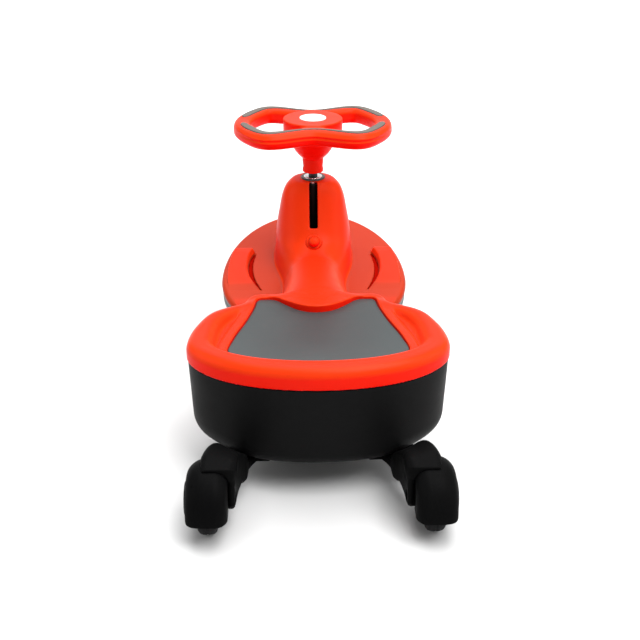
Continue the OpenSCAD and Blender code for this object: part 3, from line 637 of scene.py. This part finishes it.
# ---------------------------------------------------------------- steering wheel
RIM_POINTS = [(0, 109.5, 0), (8, 108, 14.5), (16, 104, 28.5), (25, 97, 43), (36, 87, 59.5), (46, 76.5, 70.5), (54, 65, 74), (62, 50, 71.5),
              (69, 35, 65), (77, 20, 58), (84, 8, 55), (90, 0, 54.6)]
_u = np.radians([q[0] for q in RIM_POINTS])
_k = np.arange(1, 12, 2)
RIM_A = np.linalg.lstsq(np.cos(_u[:, None] * _k), np.array([q[1] for q in RIM_POINTS], float), rcond=None)[0]
RIM_B = np.linalg.lstsq(np.sin(_u[:, None] * _k), np.array([q[2] for q in RIM_POINTS], float), rcond=None)[0]


def rim_line(t):
    """Rim's centre line: two lobes joined by a narrower middle, smooth all the way round."""
    t = np.asarray(t, float)[..., None] * _k
    return np.stack([np.cos(t) @ RIM_A, np.sin(t) @ RIM_B], -1)


RIM_T = np.radians(np.linspace(0, 90, 121))
RIM_Q = rim_line(RIM_T)
HUB = rounded([(0, 301.6), (16.6, 301.6), (16.6, 324.6), (19.8, 327.2), (24.2, 331.6), (28.4, 337), (31.6, 343), (35.6, 350), (41, 355.6), (46.2, 361),
               (46.2, 387.5), (0, 387.5)], [0, 2.2, 2.0, 8, 14, 14, 10, 10, 10, 6, 2.0, 0], 6)


def rim_near(x, y):
    """Distance from the rim's centre line, negative inside it, and the line's angle in degrees, 0 to 90."""
    ax, ay = np.abs(x), np.abs(y)
    ax, ay = np.broadcast_arrays(ax, ay)
    best = np.full(ax.shape, 1e12)
    ang = np.zeros(ax.shape)
    odd = np.zeros(ax.shape, bool)
    for i in range(len(RIM_Q) - 1):
        (x0, y0), (x1, y1) = RIM_Q[i], RIM_Q[i + 1]
        ex, ey = x1 - x0, y1 - y0
        wx, wy = ax - x0, ay - y0
        t = np.clip((wx * ex + wy * ey) / (ex * ex + ey * ey), 0.0, 1.0)
        q = (wx - ex * t) ** 2 + (wy - ey * t) ** 2
        near = q < best
        best = np.where(near, q, best)
        ang = np.where(near, (i + t) * 90.0 / 120.0, ang)
        if ey != 0:
            odd ^= ((y0 > ay) != (y1 > ay)) & (ax < x0 + ex * (ay - y0) / ey)
    d = np.sqrt(best)
    return np.where(odd, -d, d), ang


GRIP_W = curve([(0, 5.0), (12, 5.6), (25, 6.3), (50, 5.8), (70, 3.5), (84, 2.5), (90, 2.4)])


def grip_half(deg):
    """Half-width of a grip strip at the rim's angle: blunt ends, narrow middle."""
    return GRIP_W(deg) * np.sqrt(np.clip((deg - 9.0) / 4.0, 0.0, 1.0))


def steering_wheel(x, y, z):
    y = y - AXD
    n, deg = rim_near(x, y)
    dz = z - 372.5
    # outer flank swells below the shoulder, the inner one is flatter
    swell = np.where(n > 0, 1.0 * np.exp(-((dz + 3.0) / 7.0) ** 2), 0.0)
    d = rbox(n, dz, 13.6 + swell - 0.6, 12.5, 9.0)
    # two low bands moulded along the outer flank, strongest in the middle
    band = np.exp(-((dz - 4.6) / 1.9) ** 2) + 0.8 * np.exp(-((dz + 1.2) / 1.9) ** 2)
    d = d - 0.95 * band * sstep(8.0, 45.0, deg) * (n > 0)
    r = np.hypot(x, y)
    hub = poly_d(r, z, HUB)
    d = smin(d, hub, 7.0)
    w = grip_half(deg)
    d = smax(d, -np.maximum(np.maximum(np.abs(n) - (w + 0.35), 382.2 - z), 8.4 - deg), 0.7)
    d = smax(d, -np.maximum(r - 21.0, 386.0 - z), 0.7)
    d = smax(d, -np.maximum(np.hypot(y, z - 312.0) - 5.6, 12.0 - np.abs(x)), 0.6)
    return smax(d, -np.maximum(r - 7.05, z - 367.0), 0.5)


def make(name, field, lo, hi, h, body, slot, *replaced):
    p, q, g = mesh_field(field, lo, hi, h)
    return place(new_object(name, p, q, g), body, slot, *replaced)



make("upper_shell_skin", upper_shell, (-178, -71, 118), (178, 549, 294), 2.0 * FINE, "chassis", "red_plastic", "upper_shell")
make("seat_bucket_skin", bucket, (-178, -71, 42), (178, 184, 168), 2.1 * FINE, "chassis", "black_shell", "seat_bucket")
make("front_pan_skin", pan, (-150, 176, 110), (150, 549, 168), 2.1 * FINE, "chassis", "black_shell", "front_pan")

wheel_mesh = mesh_field(steering_wheel, (-127.3, 305.6, 296.2), (127, 482, 391), 1.6 * FINE)
place(new_object("steering_wheel_skin", *wheel_mesh), "steering", "red_plastic", "steering_wheel")

arm = mesh_field(rear_arm, (62, -150, 26), (154, 64, 106), 1.6 * FINE)
place(new_object("rear_arm_right_skin", *arm), "chassis", "black_carrier", "rear_arm_right")
place(new_object("rear_arm_left_skin", *mirrored(*arm)), "chassis", "black_carrier", "rear_arm_left")

hood = mesh_field(fender, (-28.4, -52.3, -12.2), (30, 52, 52), 1.5 * FINE)
for key, cx, cy, body in (("rear", TRACK_R, REAR_D, "chassis"), ("front", TRACK_F, FRONT_D, "steering")):
    p = hood[0] + np.array([cx, cy, AXLE_Z])
    place(new_object(key + "_fender_right_skin", p, hood[1], hood[2]), body, "black_carrier", key + "_fender_right")
    place(new_object(key + "_fender_left_skin", *mirrored(p, hood[1], hood[2])), body, "black_carrier", key + "_fender_left")
make("front_yoke_skin", front_yoke, (-48, 368, 16), (48, 574, 110), 1.8 * FINE, "steering", "black_carrier", "front_yoke")


# ---------------------------------------------------------------- seat panel, trim, small parts
def outline_inset(line, d):
    """Closed 2-D outline moved inwards by d."""
    p = np.asarray(line)
    t = np.roll(p, -1, 0) - np.roll(p, 1, 0)
    t /= np.linalg.norm(t, axis=1)[:, None]
    return p + np.stack([-t[:, 1], t[:, 0]], 1) * d


panel_line = np.vstack([PANEL, PANEL[-2:0:-1] * [-1, 1]])
rings = []
for d, z in [(0.25, 178.05), (0.0, 178.3), (0.0, 180.7), (0.15, 181.25), (0.5, 181.65), (1.05, 181.92), (1.8, 182.0)]:
    q = outline_inset(panel_line, d)
    rings.append(np.column_stack([q, np.full(len(q), z)]))
panel = new_object("seat_panel_skin", *loft(rings, cap=True))
sharpen(panel, 50)
place(panel, "chassis", "gray_panel", "seat_panel")


def trim_path(i):
    a = [((147 - i) * math.cos(t), 335 + (211 - i) * math.sin(t)) for t in np.radians(np.linspace(0, 180, 121))]
    ys = np.linspace(206, 333, 34)
    w = []
    for y in ys:
        lo, hi = 60.0, 180.0
        for _ in range(40):
            m = 0.5 * (lo + hi)
            if smin(deck_plan(np.array(m), np.array(y)), waist_plan(np.array(m), np.array(y)), 30.0) < -i:
                lo = m
            else:
                hi = m
        w.append(lo)
    right = [(w[k], ys[k]) for k in range(len(ys))]
    left = [(-w[k], ys[k]) for k in range(len(ys) - 1, -1, -1)]
    return np.array(right + a[1:-1] + left)


TRIM_SECTION = [(5.2, 0.0), (2.4, 0.0), (1.7, 0.06), (1.5, 0.12), (1.5, 0.38), (1.8, 0.42), (2.6, 0.44), (2.6, 0.50),
                (1.8, 0.52), (1.5, 0.56), (1.5, 0.88), (1.7, 0.95), (2.4, 1.0), (5.2, 1.0)]
cols = [trim_path(i) for i, _ in TRIM_SECTION]
rows = []
for k in range(len(cols[0])):
    row = []
    for c, (i, v) in zip(cols, TRIM_SECTION):
        zt = float(seam_z(c[k][1])) - 0.3
        zb = max(111.0, zt - 17.0)
        row.append((c[k][0], c[k][1], zt + (zb - zt) * v))
    rows.append(row)
p, f = loft(rows, cap=True)
trim = new_object("deck_trim_skin", p, f)
sharpen(trim, 45)
place(trim, "chassis", "gray_trim", "deck_trim")


def grip(name, sign, node):
    degs = np.concatenate([np.linspace(9.05, 10.5, 8), np.linspace(10.8, 14, 9), np.linspace(15, 165, 130), np.linspace(166, 169.2, 9), np.linspace(169.5, 170.95, 8)])
    rows = []
    for dg in degs:
        t = math.radians(dg)
        c = rim_line(np.array(t))
        e = rim_line(np.array(t + 0.004)) - rim_line(np.array(t - 0.004))
        e = e / np.linalg.norm(e)
        o = np.array([e[1], -e[0]])
        w = max(float(grip_half(min(dg, 180 - dg))), 0.25)
        top = 386.0 - 1.0 * (1 - min(1.0, w / 4.0)) ** 2
        row = []
        for u, z in [(-1, 382.6), (-1, top - 1.0), (-0.93, top - 0.35), (-0.75, top), (-0.3, top + 0.25), (0.3, top + 0.25), (0.75, top), (0.93, top - 0.35),
                     (1, top - 1.0), (1, 382.6)]:
            q = c + o * u * w
            row.append((q[0], sign * q[1] + AXD, z))
        rows.append(row if sign < 0 else row[::-1])
    p, f = loft(rows, cap=True)
    f = [tuple(reversed(k)) for k in f]
    o = new_object(name, p, f)
    sharpen(o, 50)
    return place(o, "steering", "gray_grip", node)


grip("grip_far_skin", 1, "grip_far")
grip("grip_near_skin", -1, "grip_near")

badge = new_object("hub_badge_skin", *revolve(rounded([(0, 386.05), (20.6, 386.05), (20.6, 388.3), (17, 388.95), (0, 388.98)], [0, 0.4, 1.0, 8, 0], 6), 96, (0, AXD, 0), (0, 0, 1)))
place(sharpen(badge, 40), "steering", "white_badge", "hub_badge")
collar = new_object("collar_ring_skin", *revolve(rounded([(15.2, 291), (19.0, 291), (19.0, 293.2), (15.2, 293.2)], [0, 0.3, 1.0, 0.4], 5, closed=True), 96, (0, AXD, 0), (0, 0, 1)))
place(sharpen(collar, 40), "chassis", "dark_ring", "collar_ring")
bush = new_object("top_bush_skin", *revolve(rounded([(7.06, 255), (10.98, 255), (10.98, 291), (15, 291), (15, 294), (7.06, 294)], [0, 0.5, 0, 0.4, 1.2, 0.8], 5, closed=True), 96, (0, AXD, 0), (0, 0, 1)))
place(sharpen(bush, 40), "chassis", "bright_steel", "top_bush")

bezel = new_object("horn_bezel_skin", *revolve(rounded([(0, -19), (10.6, -19), (10.6, -1.3), (12.2, -1.3), (12.2, 1.7), (10.6, 2.8), (8.6, 2.8), (8.6, -16.5), (0, -16.5)],
                                                       [0, 0.8, 0, 0.3, 1.2, 1.2, 0.5, 0.3, 0], 5), 96, HORN_C, HORN_A))
place(sharpen(bezel, 40), "chassis", "red_plastic", "horn_bezel")
button = new_object("horn_button_skin", *revolve(rounded([(0, -6), (8.3, -6), (8.3, 4.6), (7.3, 7.6), (4.7, 9.6), (2.4, 10.15), (0, 10.3)], [0, 0.4, 3, 3, 3, 3, 0], 6), 96, HORN_C, HORN_A))
place(sharpen(button, 40), "horn", "red_plastic", "horn_button")

# return spring: a coil of 4 turns, modelled with the button out; in the toy it shortens as the button goes in
side, over = np.array([1.0, 0.0, 0.0]), np.cross(HORN_A, [1.0, 0.0, 0.0])
coil = []
for turn in np.linspace(0.0, 4.0, 145):
    out = math.cos(2 * math.pi * turn) * side + math.sin(2 * math.pi * turn) * over
    coil.append([HORN_C + out * (6.0 + 0.7 * math.cos(b)) + HORN_A * (-15.4 + 8.5 * turn / 4.0 + 0.7 * math.sin(b)) for b in np.arange(10) * -0.2 * math.pi])
spring = place(new_object("horn_spring_coil", *loft(coil, cap=True)), "chassis", "steel", "horn_spring")
sharpen(spring, 60)
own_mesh(spring)


# ---------------------------------------------------------------- wheels
def ring_of(profile_r, n=128):
    return revolve(profile_r, n, (0, 0, 0), (1, 0, 0))


TYRE = rounded([(29, -11), (34.5, -12), (39.5, -11.6), (42.4, -9.2), (43.6, -5.5), (44, -1.6), (43.2, -1.1), (43.2, 1.1), (44, 1.6), (43.6, 5.5),
                (42.4, 9.2), (39.5, 11.6), (34.5, 12), (29, 11)], [0, 2, 3, 3, 4, 0.5, 0.3, 0.3, 0.5, 4, 3, 3, 2, 0], 4, closed=True)


def hub_field(x, y, z):
    rho = np.hypot(y, z)
    d = rmax(np.abs(rho - 20.0) - 9.0, np.abs(x) - 11.0, 1.0)
    d = smax(d, -rmax(np.abs(rho - 20.2) - 4.4, 4.5 - np.abs(x), 1.2), 1.0)
    a = np.arctan2(z, y)
    k = np.pi / 3
    b = np.abs((a + k / 2) % k - k / 2) * rho
    rib = rmax(b - 1.6, np.abs(x) - 9.5, 0.6)
    d = smin(d, np.maximum(rib, np.abs(rho - 20.0) - 7.0), 1.6)
    d = smin(d, rmax(np.abs(rho - 12.6) - 2.5, np.abs(x) - 13.0, 0.8), 1.0)
    d = smax(d, -np.maximum(rho - 11.02, 6.0 - np.abs(x)), 0.4)
    return smax(d, -(rho - 8.5), 0.5)


tyre_p, tyre_f = ring_of(TYRE)
hub_p, hub_f, hub_g = mesh_field(hub_field, (-14, -30, -30), (14, 30, 30), 1.3 * FINE)
for key, cx, cy in (("rear", TRACK_R, REAR_D), ("front", TRACK_F, FRONT_D)):
    for side, sx in (("left", -1), ("right", 1)):
        c = np.array([sx * cx, cy, AXLE_Z])
        body = f"{key}_wheel_{side}"
        place(sharpen(new_object(f"{key}_tyre_{side}_skin", tyre_p + c, tyre_f), 50), body, "tyre", f"{key}_tyre_{side}")
        place(new_object(f"{key}_hub_{side}_skin", hub_p + c, hub_f, hub_g), body, "wheel_hub", f"{key}_hub_{side}")

ROLLER = rounded([(4.06, -8), (10, -8), (11, -6.4), (19.3, -7), (22, -4.4), (22, 4.4), (19.3, 7), (11, 6.4), (10, 8), (4.06, 8)],
                 [0.3, 0.6, 1, 1.4, 2.4, 2.4, 1.4, 1, 0.6, 0.3], 4, closed=True)
for side, sx in (("left", -1), ("right", 1)):
    p, f = revolve(ROLLER, 96, (sx * 16.5, ROLL_D, ROLL_Z), (1, 0, 0))
    place(sharpen(new_object(f"safety_wheel_{side}_skin", p, f), 45), f"safety_roller_{side}", "roller", f"safety_wheel_{side}")


# ---------------------------------------------------------------- materials
def lin(r, g, b):
    return tuple(((c / 255 + 0.055) / 1.055) ** 2.4 if c > 10 else c / 255 / 12.92 for c in (r, g, b))


class Tree:
    def __init__(self, name):
        self.m = bpy.data.materials.new(name)
        self.m.use_nodes = True
        self.t = self.m.node_tree
        self.b = next(n for n in self.t.nodes if n.type == "BSDF_PRINCIPLED")
        self.coord = self.add("ShaderNodeTexCoord").outputs["Object"]

    def add(self, kind, **kw):
        n = self.t.nodes.new(kind)
        for k, v in kw.items():
            setattr(n, k, v)
        return n

    def link(self, a, b):
        self.t.links.new(a, b)

    def noise(self, scale, detail=3.0, rough=0.5, stretch=None, distortion=0.0):
        n = self.add("ShaderNodeTexNoise")
        n.inputs["Scale"].default_value = scale
        n.inputs["Detail"].default_value = detail
        n.inputs["Roughness"].default_value = rough
        n.inputs["Distortion"].default_value = distortion
        src = self.coord
        if stretch:
            m = self.add("ShaderNodeMapping")
            m.inputs["Scale"].default_value = stretch
            m.inputs["Rotation"].default_value = (0.3, 0.2, 0.5)
            self.link(src, m.inputs["Vector"])
            src = m.outputs["Vector"]
        self.link(src, n.inputs["Vector"])
        return n.outputs["Fac"]

    def ramp(self, fac, stops):
        n = self.add("ShaderNodeValToRGB")
        e = n.color_ramp.elements
        while len(e) < len(stops):
            e.new(0.5)
        for el, (pos, col) in zip(e, stops):
            el.position = pos
            el.color = (*col, 1.0) if hasattr(col, "__len__") else (col, col, col, 1.0)
        self.link(fac, n.inputs["Fac"])
        return n.outputs["Color"]

    def mix(self, fac, a, b, mode="MIX", amount=None):
        n = self.add("ShaderNodeMix", data_type="RGBA", blend_type=mode)
        if fac is not None:
            self.link(fac, n.inputs["Factor"])
        if amount is not None:
            n.inputs["Factor"].default_value = amount
        for v, s in ((a, n.inputs["A"]), (b, n.inputs["B"])):
            if hasattr(v, "is_linked"):
                self.link(v, s)
            else:
                s.default_value = (*v, 1.0)
        return n.outputs["Result"]

    def spread(self, fac, lo, hi):
        n = self.add("ShaderNodeMapRange")
        n.inputs["From Min"].default_value = 0.3
        n.inputs["From Max"].default_value = 0.7
        n.inputs["To Min"].default_value = lo
        n.inputs["To Max"].default_value = hi
        self.link(fac, n.inputs["Value"])
        return n.outputs["Result"]

    def total(self, parts):
        """Weighted sum of heights."""
        out = None
        for fac, w in parts:
            n = self.add("ShaderNodeMath", operation="MULTIPLY")
            n.inputs[1].default_value = w
            self.link(fac, n.inputs[0])
            if out is None:
                out = n.outputs[0]
            else:
                a = self.add("ShaderNodeMath", operation="ADD")
                self.link(out, a.inputs[0])
                self.link(n.outputs[0], a.inputs[1])
                out = a.outputs[0]
        return out

    def bump(self, height, strength, distance):
        n = self.add("ShaderNodeBump")
        n.inputs["Strength"].default_value = strength
        n.inputs["Distance"].default_value = distance
        self.link(height, n.inputs["Height"])
        self.link(n.outputs["Normal"], self.b.inputs["Normal"])

    def colour(self, c):
        self.link(c, self.b.inputs["Base Color"])

    def rough(self, r):
        self.link(r, self.b.inputs["Roughness"])

    def put(self, **kw):
        for k, v in kw.items():
            self.b.inputs[k.replace("_", " ")].default_value = v
        return self


def moulded(name, base, shade, rough, grain, grain_depth, fleck=0.06, coat=0.0, specular=0.5):
    """Moulded plastic: slow colour drift, fine grain, hairline scuffs that show in the gloss."""
    m = Tree(name)
    slow = m.noise(9.0, 2.0)
    fine = m.noise(420.0, 2.0)
    col = m.ramp(slow, [(0.3, shade), (0.7, base)])
    m.colour(m.mix(None, col, m.ramp(fine, [(0.25, 1 - fleck), (0.75, 1.0)]), "MULTIPLY", 1.0))
    scuff = m.noise(1.0, 4.0, 0.65, stretch=(1400.0, 40.0, 90.0))
    m.rough(m.spread(m.total([(m.noise(28.0, 3.0), 0.6), (scuff, 0.4)]), rough[0], rough[1]))
    m.bump(m.total([(m.noise(grain, 2.0), 1.0), (m.noise(grain * 0.21, 2.0), 0.5), (scuff, 0.12)]), 0.35, grain_depth)
    m.put(Specular_IOR_Level=specular)
    if coat:
        m.put(Coat_Weight=coat, Coat_Roughness=0.12)
    return m.m


def red_plastic():
    """Orange-red moulded plastic with painted light and shade: faces that point up are painted more orange, the sides
    and undersides a darker red, and the flat deck and the grooves beside the foot pads darker still.
    """
    m = Tree("red_plastic")
    geo = m.add("ShaderNodeNewGeometry")
    up = m.add("ShaderNodeSeparateXYZ")
    m.link(geo.outputs["Normal"], up.inputs[0])
    lit = m.add("ShaderNodeMapRange", interpolation_type="SMOOTHSTEP")
    for key, val in (("From Min", -0.22), ("From Max", 0.45), ("To Min", 0.0), ("To Max", 1.0)):
        lit.inputs[key].default_value = val
    m.link(up.outputs["Z"], lit.inputs["Value"])
    # painted light and shade by tilt: faces that point up are painted orange-red, faces that point sideways or down a
    # darker, purer red
    col = m.mix(lit.outputs["Result"], (0.84, 0.0035, 0.0008), (0.64, 0.0310, 0.0034))
    # painted shade: tops that face straight up are painted a little darker and less orange than tilted ones
    flat_top_shade = m.add("ShaderNodeMapRange", interpolation_type="SMOOTHSTEP")
    for key, val in (("From Min", 0.78), ("From Max", 0.99), ("To Min", 0.0), ("To Max", 1.0)):
        flat_top_shade.inputs[key].default_value = val
    m.link(up.outputs["Z"], flat_top_shade.inputs["Value"])
    col = m.mix(flat_top_shade.outputs["Result"], col, (0.60, 0.0200, 0.0020))
    # painted shade: the flat deck round the foot pads is painted darker. The mask is the height above the deck's plane,
    # in metres
    above = m.add("ShaderNodeVectorMath", operation="DOT_PRODUCT")
    above.inputs[1].default_value = (0.0, -0.1405, 1.0)
    m.link(m.coord, above.inputs[0])
    deck_shade = m.add("ShaderNodeMapRange", interpolation_type="SMOOTHSTEP")
    for key, val in (("From Min", 0.1292), ("From Max", 0.1311), ("To Min", 1.0), ("To Max", 0.0)):
        deck_shade.inputs[key].default_value = val
    m.link(above.outputs["Value"], deck_shade.inputs["Value"])
    col = m.mix(deck_shade.outputs["Result"], col, (0.36, 0.025, 0.0055))
    # painted shade: the grooves beside the foot pads, below the deck's plane, are painted a dark red
    groove_shade = m.add("ShaderNodeMapRange", interpolation_type="SMOOTHSTEP")
    for key, val in (("From Min", 0.1262), ("From Max", 0.1280), ("To Min", 1.0), ("To Max", 0.0)):
        groove_shade.inputs[key].default_value = val
    m.link(above.outputs["Value"], groove_shade.inputs["Value"])
    # only in the two grooves beside the foot pads, not on the deck's edge
    part = m.add("ShaderNodeSeparateXYZ")
    m.link(m.coord, part.inputs[0])
    away = m.add("ShaderNodeMath", operation="ABSOLUTE")
    m.link(part.outputs["X"], away.inputs[0])
    fac = groove_shade.outputs["Result"]
    for src, lo, hi, a, b in ((away.outputs[0], 0.112, 0.118, 1.0, 0.0), (part.outputs["Y"], 0.070, 0.078, 0.0, 1.0), (part.outputs["Y"], 0.206, 0.214, 1.0, 0.0)):
        gate = m.add("ShaderNodeMapRange")
        for key, val in (("From Min", lo), ("From Max", hi), ("To Min", a), ("To Max", b)):
            gate.inputs[key].default_value = val
        m.link(src, gate.inputs["Value"])
        both = m.add("ShaderNodeMath", operation="MULTIPLY")
        m.link(fac, both.inputs[0])
        m.link(gate.outputs["Result"], both.inputs[1])
        fac = both.outputs[0]
    # the painted shade colour of the grooves
    col = m.mix(fac, col, (0.27, 0.0030, 0.0010))
    slow = m.ramp(m.noise(9.0, 2.0), [(0.3, 0.96), (0.7, 1.0)])
    fine = m.ramp(m.noise(420.0, 2.0), [(0.25, 0.97), (0.75, 1.0)])
    col = m.mix(None, col, slow, "MULTIPLY", 1.0)
    m.colour(m.mix(None, col, fine, "MULTIPLY", 1.0))
    scuff = m.noise(1.0, 4.0, 0.65, stretch=(1400.0, 40.0, 90.0))
    m.rough(m.spread(m.total([(m.noise(28.0, 3.0), 0.6), (scuff, 0.4)]), 0.30, 0.40))
    m.bump(m.total([(m.noise(1500.0, 2.0), 1.0), (m.noise(315.0, 2.0), 0.5), (scuff, 0.12)]), 0.35, 0.00012)
    m.put(Sheen_Roughness=0.35)
    # the grooves, painted dark as painted shade, are also matt
    for socket, val in (("Specular IOR Level", 0.055), ("Sheen Weight", 0.025)):
        matt = m.add("ShaderNodeMapRange")
        for key, v in (("From Min", 0.0), ("From Max", 1.0), ("To Min", val), ("To Max", 0.0)):
            matt.inputs[key].default_value = v
        m.link(fac, matt.inputs["Value"])
        m.link(matt.outputs["Result"], m.b.inputs[socket])
    return m.m


MATS = {
    "red_plastic": red_plastic(),
    "black_shell": moulded("black_shell", (0.0050, 0.0050, 0.0051), (0.0042, 0.0042, 0.0043), (0.42, 0.55), 1100.0, 0.0003, 0.25, specular=0.06),
    "black_carrier": moulded("black_carrier", (0.0040, 0.0040, 0.0041), (0.0032, 0.0032, 0.0033), (0.40, 0.52), 1300.0, 0.00025, 0.2, specular=0.012),
    "black_guide": moulded("black_guide", (0.004, 0.004, 0.004), (0.003, 0.003, 0.003), (0.4, 0.5), 1300.0, 0.0002, 0.2, specular=0.15),
    "gray_trim": moulded("gray_trim", (0.13, 0.13, 0.131), (0.115, 0.115, 0.116), (0.4, 0.5), 1300.0, 0.0002, 0.1, specular=0.3),
    "gray_panel": moulded("gray_panel", (0.0310, 0.0400, 0.0410), (0.0290, 0.0375, 0.0385), (0.28, 0.38), 1700.0, 0.00016, 0.1, specular=0.22),
    "gray_grip": moulded("gray_grip", (0.110, 0.092, 0.078), (0.098, 0.082, 0.070), (0.5, 0.62), 900.0, 0.0004, 0.2, specular=0.2),
    "white_badge": moulded("white_badge", lin(244, 243, 241), lin(236, 235, 233), (0.22, 0.3), 1600.0, 0.0001, 0.03, coat=0.4),
    "dark_ring": moulded("dark_ring", (0.030, 0.0295, 0.0295), (0.024, 0.0235, 0.0235), (0.35, 0.45), 1300.0, 0.0002, 0.15),
    "tyre": moulded("tyre", (0.0055, 0.0055, 0.0058), (0.0040, 0.0040, 0.0043), (0.5, 0.68), 700.0, 0.0005, 0.3, specular=0.08),
    "wheel_hub": moulded("wheel_hub", (0.03, 0.03, 0.032), (0.024, 0.024, 0.025), (0.4, 0.52), 1200.0, 0.0002, 0.2, specular=0.3),
    "roller": moulded("roller", (0.015, 0.015, 0.016), (0.010, 0.010, 0.011), (0.45, 0.58), 900.0, 0.0003, 0.25, specular=0.3),
}


def metal(name, base, shade, rough, brush):
    m = Tree(name)
    hair = m.noise(1.0, 4.0, 0.7, stretch=brush)
    m.colour(m.ramp(m.total([(hair, 0.6), (m.noise(60.0, 3.0), 0.4)]), [(0.3, shade), (0.7, base)]))
    m.rough(m.spread(hair, rough[0], rough[1]))
    m.bump(hair, 0.12, 0.0001)
    m.put(Metallic=1.0)
    return m.m


MATS["steel"] = metal("steel", (0.62, 0.62, 0.63), (0.44, 0.44, 0.46), (0.24, 0.42), (500.0, 500.0, 40.0))
MATS["bright_steel"] = metal("bright_steel", (0.82, 0.82, 0.83), (0.66, 0.66, 0.67), (0.14, 0.28), (90.0, 90.0, 900.0))
MATS["black_steel"] = metal("black_steel", (0.05, 0.05, 0.052), (0.03, 0.03, 0.031), (0.28, 0.42), (400.0, 400.0, 50.0))

slot_of = {q["node"]: q["material_slot"] for q in frame["record"]["subparts"]}
for n, o in nodes.items():
    o.data.materials.clear()
    o.data.materials.append(MATS[slot_of[n]])
for o in bpy.data.objects:
    if o.type == "MESH" and o.name.endswith("_skin"):
        o.data.materials.append(MATS[o["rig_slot"] if "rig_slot" in o else "red_plastic"])


# ---------------------------------------------------------------- floor, light, camera
def plane(name, size, z):
    me = bpy.data.meshes.new(name)
    me.from_pydata([(-size, -size, z), (size, -size, z), (size, size, z), (-size, size, z)], [], [(0, 1, 2, 3)])
    o = bpy.data.objects.new(name, me)
    bpy.context.scene.collection.objects.link(o)
    return o


floor = plane("floor", 30.0, 0.0)
fm = Tree("floor_paper")
away = fm.add("ShaderNodeVectorMath", operation="LENGTH")
fm.link(fm.coord, away.inputs[0])
spot = fm.add("ShaderNodeMapRange", interpolation_type="SMOOTHSTEP")
for key, val in (("From Min", 0.7), ("From Max", 2.6), ("To Min", 0.0), ("To Max", 1.0)):
    spot.inputs[key].default_value = val
fm.link(away.outputs["Value"], spot.inputs["Value"])
near = fm.ramp(fm.noise(3.0, 3.0), [(0.3, (0.575, 0.575, 0.575)), (0.7, (0.585, 0.585, 0.585))])
fm.colour(fm.mix(spot.outputs["Result"], near, (0.9, 0.9, 0.9)))
fm.put(Roughness=0.9, Specular_IOR_Level=0.1)
floor.data.materials.append(fm.m)


def area(name, loc, aim, size, power):
    l = bpy.data.lights.new(name, "AREA")
    l.shape = "RECTANGLE"
    l.size, l.size_y = size
    l.energy = power
    o = bpy.data.objects.new(name, l)
    o.location = loc
    d = np.array(aim) - np.array(loc)
    o.rotation_euler = (math.atan2(math.hypot(d[0], d[1]), -d[2]), 0.0, math.atan2(d[0], -d[1]) + math.pi)
    bpy.context.scene.collection.objects.link(o)
    return o


area("sky", (0.0, 0.95, 4.2), (0.0, 0.75, 0.0), (3.5, 3.5), 6.2 * math.pi * 12.25)
area("key", (1.15, -1.4, 3.2), (0.0, 0.0, 0.2), (2.2, 2.2), 9.3 * math.pi * 4.84)
area("side_right", (2.5, -0.3, 1.25), (0.0, 0.0, 0.15), (2.0, 1.5), 2.4 * math.pi * 3.0)
area("side_left", (-2.5, -0.3, 1.25), (0.0, 0.0, 0.15), (2.0, 1.5), 2.1 * math.pi * 3.0)
area("far", (0.0, 5.0, 4.2), (0.0, 5.0, 0.0), (11.0, 4.6), 2.4 * math.pi * 50.6)
area("back", (0.0, 7.6, 2.0), (0.0, 0.0, 2.0), (12.0, 4.0), 0.8 * math.pi * 48.0)
area("front", (0.0, -3.5, 1.7), (0.0, 0.0, 0.25), (3.2, 2.0), 0.5 * math.pi * 6.4)

world = bpy.data.worlds.new("studio")
world.use_nodes = True
bg = next(n for n in world.node_tree.nodes if n.type == "BACKGROUND")
bg.inputs["Color"].default_value = (1.0, 1.0, 1.0, 1.0)
bg.inputs["Strength"].default_value = 0.15
bpy.context.scene.world = world
bpy.context.scene.view_settings.view_transform = "Standard"
bpy.context.scene.view_settings.look = "None"

cam = bpy.data.cameras.new("camera")
cam.lens = 59.06
cam.sensor_width = 36.0
cam.sensor_fit = "HORIZONTAL"
cam_o = bpy.data.objects.new("camera", cam)
cam_o.location = (-0.0285, -1.41225, 0.820)
cam_o.rotation_euler = (math.radians(64.0), 0.0, math.radians(-1.42))
bpy.context.scene.collection.objects.link(cam_o)
bpy.context.scene.camera = cam_o

bpy.context.view_layer.update()
